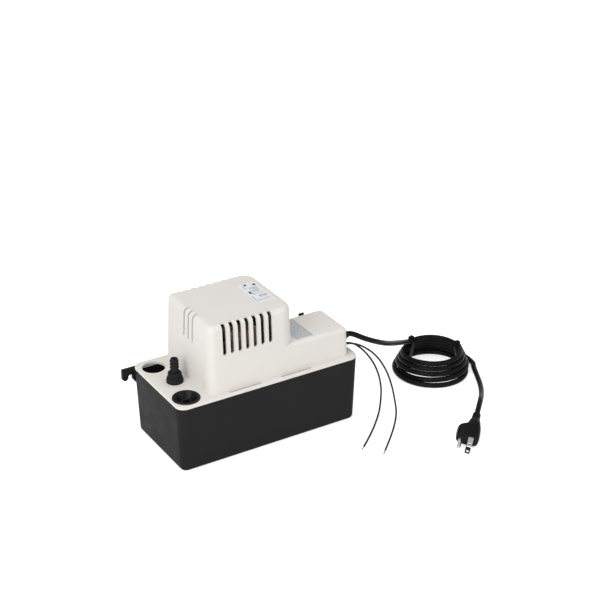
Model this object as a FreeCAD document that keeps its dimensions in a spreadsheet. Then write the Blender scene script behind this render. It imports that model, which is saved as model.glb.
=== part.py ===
import FreeCAD, Part
import math
import os
import Sketcher
from FreeCAD import Placement, Rotation, Vector

# Condensate pump, in millimetres. The origin is the middle of the tank's footprint, on the floor.
# +X runs along the tank to the end where the cord leaves, -Y is the long front face, +Z is up.
# Angles are in degrees.

SIZES = {
    # tank
    "tank_length": 250.0,
    "tank_width": 127.0,
    "tank_height": 87.3,
    "tank_draft": 2.1,
    "tank_corner": 11.6,
    "tank_foot_round": 5.0,
    "tank_wall": 2.5,
    "ear_reach": 14.7,
    "ear_thickness": 4.0,
    "ear_finger": 8.0,
    "ear_notch": 5.6,
    "ear_notch_depth": 7.0,
    "ear_band": 8.8,
    "ear_web_drop": 26.8,
    # cover
    "deck_thickness": 3.0,
    "deck_round": 1.2,
    "cover_wall": 2.4,
    "cover_draft": 2.6,
    "dome_start_inset": 44.0,
    "dome_end_x": 41.7,
    "dome_front_margin": 7.8,
    "dome_rear_margin": 1.8,
    "dome_height": 87.4,
    "dome_left_corner": 12.0,
    "dome_right_corner": 21.0,
    "dome_round": 7.0,
    "step_end_inset": 10.0,
    "step_rear_y": 9.5,
    "step_height": 37.2,
    "step_corner": 8.0,
    "step_round": 5.0,
    "lip_depth": 4.0,
    "lip_wall": 1.8,
    "lip_clearance": 0.4,
    "inlet_radius": 14.3,
    "inlet_end_inset": 19.6,
    "inlet_side_inset": 20.9,
    "vent_width": 5.2,
    "vent_pitch": 10.35,
    "vent_count": 7,
    "vent_offset": -2.65,
    "vent_foot_rise": 48.0,
    "side_vent_width": 3.2,
    "side_vent_pitch": 10.4,
    "side_vent_foot_rise": 51.2,
    "latch_length": 43.5,
    "latch_width": 3.2,
    "latch_left_x": -33.5,
    "latch_right_x": 37.3,
    "latch_gap": 0.7,
    "tongue_depth": 10.0,
    "boss_radius": 4.0,
    "boss_height": 12.0,
    "boss_inset": 7.0,
    # plate under the cover
    "plate_thickness": 2.5,
    "plate_margin": 1.6,
    "screw_radius": 1.5,
    "screw_head_radius": 2.9,
    "screw_head_height": 1.8,
    "screw_clearance": 0.1,
    # inlet plugs
    "plug_clearance": 0.2,
    "plug_rim_radius": 17.0,
    "plug_rim_height": 1.0,
    "plug_depth": 10.0,
    "plug_floor": 2.0,
    "plug_mouth_radius": 13.4,
    "plug_tab_width": 8.0,
    "plug_tab_thickness": 2.6,
    "rear_tab_height": 17.0,
    # labels
    "label_thickness": 0.2,
    "dome_label_inset": 13.0,
    "dome_label_width": 23.5,
    "dome_label_length": 53.0,
    "dome_label_centre_y": 3.0,
    "step_label_gap": 1.8,
    "step_label_length": 24.0,
    "step_label_front_inset": 8.2,
    "step_label_rear_inset": 6.5,
    # outlet fitting and check valve
    "outlet_inset": 26.3,
    "outlet_y": -1.0,
    "fitting_spigot_radius": 7.5,
    "fitting_spigot_depth": 9.3,
    "fitting_hole_clearance": 0.3,
    "fitting_base_radius": 10.4,
    "fitting_base_height": 6.4,
    "fitting_collar_radius": 8.4,
    "fitting_collar_height": 6.6,
    "barb_radius": 5.5,
    "barb_core_radius": 4.4,
    "barb_pitch": 4.3,
    "barb_land": 0.9,
    "barb_count": 4,
    "outlet_bore": 2.4,
    "valve_chamber_radius": 5.2,
    "valve_chamber_height": 13.0,
    "ball_radius": 4.6,
    "ball_clearance": 0.05,
    "valve_seat_radius": 3.4,
    "seal_radius": 0.6,
    # motor
    "motor_offset": 4.35,
    "motor_front_inset": 59.7,
    "motor_lift": 31.7,
    "motor_headroom": 30.3,
    "stack_half_length": 31.0,
    "stack_rear": 24.0,
    "bore_radius": 15.4,
    "rotor_gap": 0.4,
    "yoke": 5.6,
    "window_depth": 9.0,
    "window_half_length": 17.0,
    "limb_width": 12.0,
    "bobbin_wall": 1.2,
    "bobbin_clearance": 0.3,
    "coil_build": 6.6,
    "shading_inner_x": 10.6,
    "shading_outer_x": 20.0,
    "shading_y": 14.0,
    "shading_wire": 2.2,
    "shading_clearance": 0.2,
    "bracket_width": 14.0,
    "bracket_sheet": 2.2,
    "bracket_rise": 12.0,
    "bracket_half_span": 17.0,
    "hub_radius": 7.0,
    "hub_height": 8.2,
    "bearing_radius": 5.0,
    "motor_screw_x": 25.0,
    "motor_screw_radius": 2.0,
    "motor_screw_head_radius": 3.8,
    "motor_screw_head_height": 2.6,
    "standoff_radius": 4.0,
    "shaft_radius": 2.5,
    "shaft_clearance": 0.05,
    "end_ring_height": 3.0,
    "fan_radius": 22.0,
    "fan_disc": 1.2,
    "fan_blade_height": 6.0,
    "fan_blade_count": 8,
    "fan_gap": 1.4,
    "slinger_lift": 10.2,
    "slinger_radius": 7.0,
    "slinger_height": 2.5,
    # pump
    "intake_low_z": 8.0,
    "intake_thickness": 3.0,
    "intake_hole_radius": 8.0,
    "volute_radius": 28.0,
    "volute_cavity_radius": 22.0,
    "volute_cavity_height": 14.0,
    "volute_roof": 8.0,
    "column_radius": 8.0,
    "column_bore": 4.5,
    "column_flange_radius": 15.0,
    "column_flange_height": 3.0,
    "column_foot_radius": 12.0,
    "impeller_radius": 20.0,
    "impeller_disc": 2.0,
    "impeller_gap": 1.4,
    "impeller_hub_radius": 5.0,
    "vane_count": 6,
    "vane_thickness": 1.6,
    "port_z": 18.0,
    "port_radius": 6.5,
    "port_length": 9.0,
    "tube_radius": 5.0,
    "tube_bore": 3.6,
    "tube_bend": 14.0,
    "socket_wall": 2.0,
    "socket_clearance": 0.1,
    "socket_floor": 2.0,
    # float and switches
    "float_inset": 41.0,
    "float_y": -22.0,
    "float_length": 44.0,
    "float_height": 24.0,
    "float_low_z": 10.0,
    "float_round": 4.0,
    "rod_radius": 2.0,
    "rod_clearance": 0.3,
    "rod_low_z": 5.5,
    "guide_radius": 4.5,
    "guide_depth": 12.0,
    "clip_radius": 4.5,
    "clip_height": 1.6,
    "lever_lift": 13.0,
    "lever_sheet": 1.6,
    "lever_gap": 0.8,
    "lever_overhang": 6.0,
    "lever_length": 44.0,
    "pin_radius": 1.5,
    "pin_clearance": 0.05,
    "lever_barrel_radius": 2.6,
    "bracket_front_y": -31.6,
    "bracket_rear_y": -0.4,
    "cheek_thickness": 1.6,
    "bracket_back": 11.6,
    "bracket_nose": 16.0,
    "cheek_nose": 5.0,
    "switch_length": 18.0,
    "switch_width": 10.0,
    "switch_height": 10.0,
    "switch_lift": 17.2,
    "pump_switch_y": -22.0,
    "safety_switch_y": -10.0,
    "button_arm": 6.0,
    "button_radius": 1.2,
    "button_drop": 2.4,
    "button_sink": 3.0,
    # wiring
    "wire_radius": 1.1,
    "connector_radius": 3.6,
    "connector_length": 18.0,
    "connector_gap": 20.0,
    "ground_screw_offset": 20.0,
    "ground_screw_inset": 21.7,
    # cord and leads
    "cord_radius": 3.4,
    "cord_start_gap": 1.7,
    "wire_start_gap": 0.25,
    "cord_hole_inset": 15.7,
    "cord_hole_rise": 20.2,
    "relief_radius": 6.4,
    "relief_tip_radius": 4.2,
    "relief_neck_radius": 5.4,
    "relief_length": 8.0,
    "relief_inside": 13.0,
    "relief_head": 3.0,
    "lead_radius": 1.2,
    "lead_hole_rise": 7.7,
    "grommet_radius": 4.6,
    "grommet_neck_radius": 3.4,
    "grommet_head": 1.6,
    "lead_spacing": 1.3,
    "tip_radius": 0.7,
    "tip_length": 9.0,
    "coil_x": 277.0,
    "coil_y": -10.0,
    "coil_height": 22.0,
    "coil_outer_radius": 52.0,
    "coil_inner_radius": 33.0,
    "tie_width": 7.0,
    "tie_thickness": 1.2,
    # mains plug
    "mains_plug_x": 236.6,
    "mains_plug_y": -160.9,
    "mains_plug_heading": -136.3,
    "mains_plug_axis_z": 20.5,
    "mains_plug_tilt": 10.8,
    "mains_plug_roll": -12.1,
    "mains_plug_thickness": 21.0,
    "mains_plug_length": 49.0,
    "mains_plug_round": 3.0,
    "mains_plug_run_in": 24.0,
    "mains_plug_collar_radius": 5.2,
    "mains_plug_collar_length": 9.0,
    "blade_spacing": 12.7,
    "blade_width": 6.35,
    "blade_thickness": 1.5,
    "blade_length": 17.5,
    "blade_hole_radius": 1.6,
    "ground_pin_offset": 11.9,
    "ground_pin_radius": 2.4,
    "ground_pin_length": 20.6,
}


class Size:
    """A length or an angle that knows its number and the sheet formula behind it."""

    def __init__(self, number, formula):
        self.number = number
        self.formula = formula

    def __add__(self, other):
        other = as_size(other)
        return Size(self.number + other.number, f"({self.formula} + {other.formula})")

    def __radd__(self, other):
        return as_size(other) + self

    def __sub__(self, other):
        other = as_size(other)
        return Size(self.number - other.number, f"({self.formula} - {other.formula})")

    def __rsub__(self, other):
        return as_size(other) - self

    def __mul__(self, other):
        other = as_size(other)
        return Size(self.number * other.number, f"({self.formula} * {other.formula})")

    def __rmul__(self, other):
        return as_size(other) * self

    def __truediv__(self, other):
        other = as_size(other)
        return Size(self.number / other.number, f"({self.formula} / {other.formula})")

    def __neg__(self):
        return Size(-self.number, f"(0 - {self.formula})")


def as_size(value):
    """A plain number as a Size; a Size stays as it is."""
    if isinstance(value, Size):
        return value
    return Size(float(value), f"{float(value):.6f}")


def tangent(angle):
    return Size(math.tan(math.radians(angle.number)), f"tan({angle.formula})")


def root(value):
    return Size(math.sqrt(value.number), f"sqrt({value.formula})")


doc = FreeCAD.newDocument("condensate_pump")
sheet = doc.addObject("Spreadsheet::Sheet", "Sizes")


class Dimensions:
    """The sheet's cells by name."""


d = Dimensions()
for row, (name, value) in enumerate(SIZES.items(), start=1):
    sheet.set(f"A{row}", name)
    sheet.set(f"B{row}", str(value))
    sheet.setAlias(f"B{row}", name)
    setattr(d, name, Size(float(value), f"Sizes.{name}"))
doc.recompute()

# Places that several pieces share
deck_top = d.tank_height + d.deck_thickness
dome_top = deck_top + d.dome_height
step_top = deck_top + d.step_height
dome_start_x = d.dome_start_inset - d.tank_length / 2
dome_centre_x = (dome_start_x + d.dome_end_x) / 2
front_y = d.dome_front_margin - d.tank_width / 2
rear_y = d.tank_width / 2 - d.dome_rear_margin
step_end_x = d.tank_length / 2 - d.step_end_inset
inlet_x = d.tank_length / 2 - d.inlet_end_inset
inlet_y = d.tank_width / 2 - d.inlet_side_inset
outlet_x = d.outlet_inset - d.tank_length / 2
plate_low = d.tank_height - d.plate_thickness
motor_x = dome_centre_x - d.motor_offset
motor_y = front_y + d.motor_front_inset
stack_low = deck_top + d.motor_lift
stack_top = dome_top - d.motor_headroom
slinger_low = deck_top + d.slinger_lift
ground_screw_place = (motor_x + d.ground_screw_offset, rear_y - d.ground_screw_inset)
volute_low = d.intake_low_z + d.intake_thickness
volute_cavity_top = volute_low + d.volute_cavity_height
volute_top = volute_cavity_top + d.volute_roof
float_x = d.tank_length / 2 - d.float_inset
pivot_x = float_x - d.lever_length
bracket_back_x = pivot_x - d.bracket_back
bracket_nose_x = pivot_x + d.bracket_nose
cheek_nose_x = pivot_x + d.cheek_nose
button_x = pivot_x + d.button_arm
connector_x = pivot_x + d.connector_gap
lever_z = deck_top + d.lever_lift
lever_low = lever_z - d.lever_sheet / 2
switch_low = deck_top + d.switch_lift
cord_hole_y = front_y + d.cord_hole_inset
cord_hole_z = deck_top + d.cord_hole_rise
lead_hole_z = deck_top + d.lead_hole_rise
socket_seat = deck_top - d.fitting_spigot_depth - d.socket_floor
WORLD_CUT = 5.0


# Drawing tools
def bind(obj, prop, value):
    obj.setExpression(prop, as_size(value).formula)


def place(obj, x=0, y=0, z=0):
    for axis, value in zip("xyz", (x, y, z)):
        bind(obj, f"Placement.Base.{axis}", value)
    return obj


def new_body(name, x=0, y=0, z=0):
    body = doc.addObject("PartDesign::Body", name)
    body.Label = name
    return place(body, x, y, z)


def sketch_on(body, name, plane="XY_Plane", at=0):
    """A sketch on one of the body's own origin planes, moved along the plane's normal."""
    sketch = body.newObject("Sketcher::SketchObject", f"{body.Name}_{name}_sketch")
    planes = [f for f in body.Origin.OriginFeatures if f.Role == plane]
    sketch.AttachmentSupport = [(planes[0], "")]
    sketch.MapMode = "FlatFace"
    bind(sketch, "AttachmentOffset.Base.z", at)
    return sketch


def pin(sketch, kind, element, point, value):
    value = as_size(value)
    row = sketch.addConstraint(Sketcher.Constraint(kind, element, point, value.number))
    sketch.setExpression(f"Constraints[{row}]", value.formula)


def pin_radius(sketch, element, value):
    row = sketch.addConstraint(Sketcher.Constraint("Radius", element, value.number))
    sketch.setExpression(f"Constraints[{row}]", value.formula)


def polygon(sketch, corners):
    first = sketch.GeometryCount
    count = len(corners)
    points = [Vector(as_size(x).number, as_size(y).number, 0) for x, y in corners]
    for i in range(count):
        sketch.addGeometry(Part.LineSegment(points[i], points[(i + 1) % count]))
    for i in range(count):
        ends = Sketcher.Constraint("Coincident", first + i, 2, first + (i + 1) % count, 1)
        sketch.addConstraint(ends)
    for i, (x, y) in enumerate(corners):
        pin(sketch, "DistanceX", first + i, 1, x)
        pin(sketch, "DistanceY", first + i, 1, y)


def rectangle(sketch, low_x, low_y, high_x, high_y):
    polygon(sketch, [(low_x, low_y), (high_x, low_y), (high_x, high_y), (low_x, high_y)])


def circle(sketch, x, y, radius):
    x, y, radius = as_size(x), as_size(y), as_size(radius)
    centre = Vector(x.number, y.number, 0)
    element = sketch.addGeometry(Part.Circle(centre, Vector(0, 0, 1), radius.number))
    pin(sketch, "DistanceX", element, 3, x)
    pin(sketch, "DistanceY", element, 3, y)
    pin_radius(sketch, element, radius)


def rounded_rectangle(sketch, low_x, low_y, high_x, high_y, radius, right_radius=None):
    """Four lines and four arcs, tangent all round, held by the arcs' centres and radii."""
    low_x, low_y, high_x, high_y, radius = map(as_size, (low_x, low_y, high_x, high_y, radius))
    right = as_size(radius if right_radius is None else right_radius)
    first = sketch.GeometryCount
    radii = [right, right, radius, radius]
    centres = [
        (high_x - right, low_y + right),
        (high_x - right, high_y - right),
        (low_x + radius, high_y - radius),
        (low_x + radius, low_y + radius),
    ]
    for i in range(4):
        here = centres[i - 1]
        there = centres[i]
        side = math.radians(90 * i - 90)
        out = Vector(math.cos(side), math.sin(side), 0)
        start = Vector(here[0].number, here[1].number, 0) + out * radii[i - 1].number
        end = Vector(there[0].number, there[1].number, 0) + out * radii[i].number
        sketch.addGeometry(Part.LineSegment(start, end))
        middle = Vector(there[0].number, there[1].number, 0)
        whole = Part.Circle(middle, Vector(0, 0, 1), radii[i].number)
        sketch.addGeometry(Part.ArcOfCircle(whole, side, side + math.pi / 2))
    for i in range(4):
        line = first + 2 * i
        arc = line + 1
        after = first + (2 * i + 2) % 8
        sketch.addConstraint(Sketcher.Constraint("Tangent", line, 2, arc, 1))
        sketch.addConstraint(Sketcher.Constraint("Tangent", arc, 2, after, 1))
        pin(sketch, "DistanceX", arc, 3, centres[i][0])
        pin(sketch, "DistanceY", arc, 3, centres[i][1])
        pin_radius(sketch, arc, radii[i])


def pad(body, sketch, length, taper=None, back=False):
    """The outline raised along its plane's normal, or against it with back."""
    feature = body.newObject("PartDesign::Pad", f"{sketch.Name}_pad")
    feature.Profile = sketch
    feature.Reversed = back
    bind(feature, "Length", length)
    if taper is not None:
        bind(feature, "TaperAngle", taper)
    return feature


def pocket(body, sketch, length, taper=None, along=False):
    """The outline cut against its plane's normal, or along it with along. It must take material away."""
    doc.recompute()
    before = body.Shape.Volume
    feature = body.newObject("PartDesign::Pocket", f"{sketch.Name}_pocket")
    feature.Profile = sketch
    feature.Reversed = along
    bind(feature, "Length", length)
    if taper is not None:
        bind(feature, "TaperAngle", taper)
    doc.recompute()
    if body.Shape.Volume >= before:
        raise RuntimeError(f"{sketch.Name} cuts nothing")
    return feature


def turn(body, sketch):
    """The profile turned about the body's Z axis."""
    feature = body.newObject("PartDesign::Revolution", f"{sketch.Name}_turned")
    feature.Profile = sketch
    feature.ReferenceAxis = (sketch, ["V_Axis"])
    feature.Angle = 360
    return feature


def round_edges(body, radius, wanted):
    """Rounds the edges of the body so far that the test picks."""
    doc.recompute()
    base = body.Tip
    names = [f"Edge{i}" for i, edge in enumerate(base.Shape.Edges, start=1) if wanted(edge)]
    feature = body.newObject("PartDesign::Fillet", f"{body.Name}_round")
    feature.Base = (base, names)
    bind(feature, "Radius", radius)
    doc.recompute()
    return feature


def repeat(body, feature, axis, pitch, count):
    """Copies of a feature in a row along one of its sketch's axes."""
    pattern = body.newObject("PartDesign::LinearPattern", f"{feature.Name}_row")
    pattern.Originals = [feature]
    pattern.Direction = (feature.Profile[0], [axis])
    bind(pattern, "Length", pitch * (count - 1))
    bind(pattern, "Occurrences", count)
    body.Tip = pattern
    doc.recompute()
    return pattern


def repeat_round(body, feature, count):
    """Copies of a feature about the body's Z axis."""
    pattern = body.newObject("PartDesign::PolarPattern", f"{feature.Name}_ring")
    pattern.Originals = [feature]
    axes = [f for f in body.Origin.OriginFeatures if f.Role == "Z_Axis"]
    pattern.Axis = (axes[0], [""])
    pattern.Angle = 360
    bind(pattern, "Occurrences", count)
    body.Tip = pattern
    doc.recompute()
    return pattern


def all_at_height(z):
    return lambda edge: all(abs(v.Z - z.number) < 1e-4 for v in edge.Vertexes)


def upright(edge):
    ends = edge.Vertexes
    return len(ends) == 2 and abs(ends[0].X - ends[1].X) < 1e-6 and abs(ends[0].Y - ends[1].Y) < 1e-6


def turned_part(name, profile, x=0, y=0, z=0):
    """A body turned from one profile of (radius, height) corners."""
    body = new_body(name, x, y, z)
    sketch = sketch_on(body, "profile", "XZ_Plane")
    polygon(sketch, profile)
    turn(body, sketch)
    return body


def ring_profile(inner, outer, low, high):
    return [(inner, low), (outer, low), (outer, high), (inner, high)]


def box(name, low_x, low_y, low_z, high_x, high_y, high_z):
    block = doc.addObject("Part::Box", name)
    place(block, low_x, low_y, low_z)
    bind(block, "Length", as_size(high_x) - low_x)
    bind(block, "Width", as_size(high_y) - low_y)
    bind(block, "Height", as_size(high_z) - low_z)
    return block


def rod(name, x, y, z, radius, length, axis=Vector(0, 0, 1)):
    """A cylinder that starts at the point and runs along the axis."""
    cylinder = doc.addObject("Part::Cylinder", name)
    cylinder.Placement = Placement(Vector(), Rotation(Vector(0, 0, 1), axis))
    place(cylinder, x, y, z)
    bind(cylinder, "Radius", radius)
    bind(cylinder, "Height", length)
    return cylinder


def fuse(name, *shapes):
    union = doc.addObject("Part::MultiFuse", name)
    union.Shapes = list(shapes)
    return union


def cut(name, base, tool):
    result = doc.addObject("Part::Cut", name)
    result.Base = base
    result.Tool = tool
    return result


def group(name, *members):
    """Separate solids of one kind, kept as one piece."""
    compound = doc.addObject("Part::Compound", name)
    compound.Links = list(members)
    compound.Label = name
    return compound


def screw(name, x, y, head_z, length, radius, head_radius, head_height, way=1):
    """A pan-head screw. Its head sits on head_z; the shank runs down for way 1 and up for way -1."""
    down = Vector(0, 0, -way)
    shank = rod(f"{name}_shank", x, y, as_size(head_z), radius, length, down)
    head = rod(f"{name}_head", x, y, as_size(head_z), head_radius, head_height, Vector(0, 0, way))
    return fuse(name, shank, head)


def rounded_route(points, shares=0.45):
    """Straight runs through the points, joined by arcs as large as the runs allow. Returns wire and radii."""
    edges, radii = [], []
    start = points[0]
    for i in range(1, len(points) - 1):
        before, here, after = points[i - 1], points[i], points[i + 1]
        arriving = (here - before).normalize()
        leaving = (after - here).normalize()
        half_turn = arriving.getAngle(leaving) / 2
        reach = shares * min((here - before).Length, (after - here).Length)
        radii.append(reach / math.tan(half_turn))
        arc_start = here - arriving * reach
        arc_end = here + leaving * reach
        inward = (leaving - arriving).normalize()
        middle = here + inward * (radii[-1] / math.cos(half_turn) - radii[-1])
        edges.append(Part.LineSegment(start, arc_start).toShape())
        edges.append(Part.Arc(arc_start, middle, arc_end).toShape())
        start = arc_end
    edges.append(Part.LineSegment(start, points[-1]).toShape())
    return Part.Wire(edges), radii


def tube_shape(points, radius):
    wire, radii = rounded_route(points)
    first = (points[1] - points[0]).normalize()
    section = Part.Wire([Part.Circle(points[0], first, radius).toShape()])
    solid = wire.makePipeShell([section], True, False)
    expected = math.pi * radius * radius * wire.Length
    if abs(solid.Volume / expected - 1) > 0.01:
        raise RuntimeError("the tube does not fill its route")
    return solid, wire.Length, radii


def feature(name, shape, where=None):
    """A piece whose shape is made by Part's own functions."""
    part = doc.addObject("Part::Feature", name)
    part.Label = name
    part.Shape = shape
    if where is not None:
        part.Placement = where
    return part


def cord_tube(name, points, radius):
    solid, length, radii = tube_shape([Vector(*p) for p in points], radius.number)
    print(f"{name}: length {length:.1f}, radii {[round(r, 1) for r in radii]}")
    return feature(name, solid)


# The tank: a drafted open box with a hanger ear at each end of its rear wall
def ear_corners(side):
    """The ear seen from behind the rear wall, from the tip of its finger to the web under it."""
    end = d.tank_length / 2 + d.ear_reach
    finger_in = end - d.ear_finger
    notch_in = finger_in - d.ear_notch
    notch_top = d.tank_height - d.ear_band
    tip = notch_top - d.ear_notch_depth
    web_foot = d.tank_height - d.ear_web_drop
    inside = d.tank_length / 2 - d.tank_corner
    wide = [
        (end, d.tank_height),
        (end, tip + d.ear_finger / 3),
        (end - d.ear_finger / 3, tip),
        (finger_in + d.ear_finger / 3, tip),
        (finger_in, tip + d.ear_finger / 3),
        (finger_in, notch_top - d.ear_notch / 4),
        (finger_in - d.ear_notch / 4, notch_top),
        (notch_in + d.ear_notch / 4, notch_top),
        (notch_in, notch_top - d.ear_notch / 4),
        (notch_in, tip),
        (notch_in - d.ear_finger, web_foot),
        (inside, web_foot),
        (inside, d.tank_height),
    ]
    return [(side * x, z) for x, z in wide]


def make_tank():
    body = new_body("tank")
    rim = sketch_on(body, "rim", at=d.tank_height)
    half_length, half_width = d.tank_length / 2, d.tank_width / 2
    rounded_rectangle(rim, -half_length, -half_width, half_length, half_width, d.tank_corner)
    pad(body, rim, d.tank_height, -d.tank_draft, back=True)
    round_edges(body, d.tank_foot_round, all_at_height(as_size(0)))
    for side, word in ((-1, "left"), (1, "right")):
        ear = sketch_on(body, f"{word}_ear", "XZ_Plane", at=-half_width)
        polygon(ear, ear_corners(side))
        pad(body, ear, d.ear_thickness)
    hollow = sketch_on(body, "hollow", at=d.tank_height)
    inner_length, inner_width = half_length - d.tank_wall, half_width - d.tank_wall
    inner_corner = d.tank_corner - d.tank_wall
    rounded_rectangle(hollow, -inner_length, -inner_width, inner_length, inner_width, inner_corner)
    pocket(body, hollow, d.tank_height - d.tank_wall, -d.tank_draft)
    round_edges(body, d.tank_foot_round - d.tank_wall / 2, all_at_height(d.tank_wall))
    return body


# The cover: rim, deck, dome and step in one shell
boss_places = [
    (dome_start_x + d.boss_inset, front_y + d.boss_inset),
    (dome_start_x + d.boss_inset, rear_y - d.boss_inset),
    (d.dome_end_x - d.boss_inset, rear_y - d.boss_inset),
    (step_end_x - d.boss_inset, front_y + d.boss_inset),
]
inlet_places = [(-inlet_x, inlet_y), (-inlet_x, -inlet_y), (inlet_x, inlet_y)]


def cover_shells(body, inset, corner_inset, base, name):
    """The step's and the dome's outlines on one level, drawn in by inset."""
    step = sketch_on(body, f"step_{name}", at=base)
    rounded_rectangle(
        step,
        dome_centre_x + inset,
        front_y + inset,
        step_end_x - inset,
        d.step_rear_y - inset,
        d.step_corner - corner_inset,
    )
    dome = sketch_on(body, f"dome_{name}", at=base)
    rounded_rectangle(
        dome,
        dome_start_x + inset,
        front_y + inset,
        d.dome_end_x - inset,
        rear_y - inset,
        d.dome_left_corner - corner_inset,
        d.dome_right_corner - corner_inset,
    )
    return step, dome


def add_tongues(body):
    """Four plain tongues that steady the cover against the tank's long walls."""
    tongue_out = d.tank_width / 2 - d.tank_wall - d.lip_clearance
    tongue_in = tongue_out - d.lip_wall
    tongues = sketch_on(body, "tongues", at=d.tank_height - d.lip_depth)
    for middle in (d.latch_left_x, d.latch_right_x):
        low_x, high_x = middle - d.latch_length / 4, middle + d.latch_length / 4
        rectangle(tongues, low_x, -tongue_out + d.lip_clearance, high_x, -tongue_in)
        rectangle(tongues, low_x, tongue_in, high_x, tongue_out - d.lip_clearance)
    pad(body, tongues, d.tongue_depth - d.lip_depth, back=True)


def make_cover():
    body = new_body("top_cover")
    half_length, half_width = d.tank_length / 2, d.tank_width / 2
    deck = sketch_on(body, "deck", at=d.tank_height)
    rounded_rectangle(deck, -half_length, -half_width, half_length, half_width, d.tank_corner)
    pad(body, deck, d.deck_thickness)
    round_edges(body, d.deck_round, all_at_height(deck_top))
    step, dome = cover_shells(body, as_size(0), as_size(0), deck_top, "outside")
    pad(body, step, d.step_height, -d.cover_draft)
    round_edges(body, d.step_round, all_at_height(step_top))
    pad(body, dome, d.dome_height, -d.cover_draft)
    round_edges(body, d.dome_round, all_at_height(dome_top))
    # the hollows under the step and the dome
    step, dome = cover_shells(body, d.cover_wall, d.cover_wall, d.tank_height, "inside")
    pocket(body, step, d.step_height + d.deck_thickness - d.cover_wall, -d.cover_draft, along=True)
    pocket(body, dome, d.dome_height + d.deck_thickness - d.cover_wall, -d.cover_draft, along=True)
    round_edges(body, d.dome_round - d.cover_wall, all_at_height(dome_top - d.cover_wall))
    # the lip that drops inside the tank's rim
    lip = sketch_on(body, "lip", at=d.tank_height)
    out_x = half_length - d.tank_wall - d.lip_clearance
    out_y = half_width - d.tank_wall - d.lip_clearance
    corner = d.tank_corner - d.tank_wall - d.lip_clearance
    rounded_rectangle(lip, -out_x, -out_y, out_x, out_y, corner)
    in_x, in_y = out_x - d.lip_wall, out_y - d.lip_wall
    rounded_rectangle(lip, -in_x, -in_y, in_x, in_y, corner - d.lip_wall)
    pad(body, lip, d.lip_depth, back=True)
    add_tongues(body)
    bosses = sketch_on(body, "bosses", at=d.tank_height)
    for x, y in boss_places:
        circle(bosses, x, y, d.boss_radius)
    pad(body, bosses, d.boss_height)
    # holes
    holes = sketch_on(body, "deck_holes", at=deck_top)
    for x, y in inlet_places:
        circle(holes, x, y, d.inlet_radius)
    circle(holes, outlet_x, d.outlet_y, d.fitting_spigot_radius + d.fitting_hole_clearance)
    pocket(body, holes, d.deck_thickness + d.lip_depth + d.tongue_depth)
    screw_holes = sketch_on(body, "screw_holes", at=d.tank_height)
    for x, y in boss_places:
        circle(screw_holes, x, y, d.screw_radius + d.screw_clearance)
    pocket(body, screw_holes, d.boss_height - d.screw_radius, along=True)
    slots = sketch_on(body, "latch_slots", at=deck_top)
    slot_rear = front_y - d.latch_gap
    slot_front = slot_rear - d.latch_width
    slot_round = d.latch_width / 2 - 0.05
    for middle in (d.latch_left_x, d.latch_right_x):
        low_x, high_x = middle - d.latch_length / 2, middle + d.latch_length / 2
        rounded_rectangle(slots, low_x, slot_front, high_x, slot_rear, slot_round)
    pocket(body, slots, d.deck_thickness)
    # vents through the front, rear and left walls, running up over the rounded top edge
    vent_round = d.vent_width / 2 - 0.05
    vent_first_x = motor_x + d.vent_offset - d.vent_pitch * (d.vent_count - 1) / 2
    vent_reach = WORLD_CUT + d.dome_round + d.dome_height * tangent(d.cover_draft)
    for side, word, wall_y in ((1, "front", -front_y), (-1, "rear", rear_y)):
        vents = sketch_on(body, f"{word}_vents", "XZ_Plane", at=side * (wall_y + WORLD_CUT))
        low_x = vent_first_x - d.vent_width / 2
        high_x = vent_first_x + d.vent_width / 2
        rounded_rectangle(vents, low_x, deck_top + d.vent_foot_rise, high_x, dome_top + WORLD_CUT, vent_round)
        first = pocket(body, vents, vent_reach, along=side < 0)
        repeat(body, first, "H_Axis", d.vent_pitch, d.vent_count)
    side_vents = sketch_on(body, "side_vents", "YZ_Plane", at=dome_start_x - WORLD_CUT)
    side_round = d.side_vent_width / 2 - 0.05
    low_y = -d.side_vent_pitch - d.side_vent_width / 2
    high_y = -d.side_vent_pitch + d.side_vent_width / 2
    rounded_rectangle(
        side_vents, low_y, deck_top + d.side_vent_foot_rise, high_y, dome_top + WORLD_CUT, side_round
    )
    first = pocket(body, side_vents, vent_reach, along=True)
    repeat(body, first, "H_Axis", d.side_vent_pitch, as_size(3))
    # holes for the cord and the leads in the end wall of the step
    cord_holes = sketch_on(body, "cord_holes", "YZ_Plane", at=step_end_x + WORLD_CUT)
    circle(cord_holes, cord_hole_y, cord_hole_z, d.relief_neck_radius)
    circle(cord_holes, cord_hole_y, lead_hole_z, d.grommet_neck_radius)
    pocket(body, cord_holes, WORLD_CUT * 2 + d.cover_wall)
    return body


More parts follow.
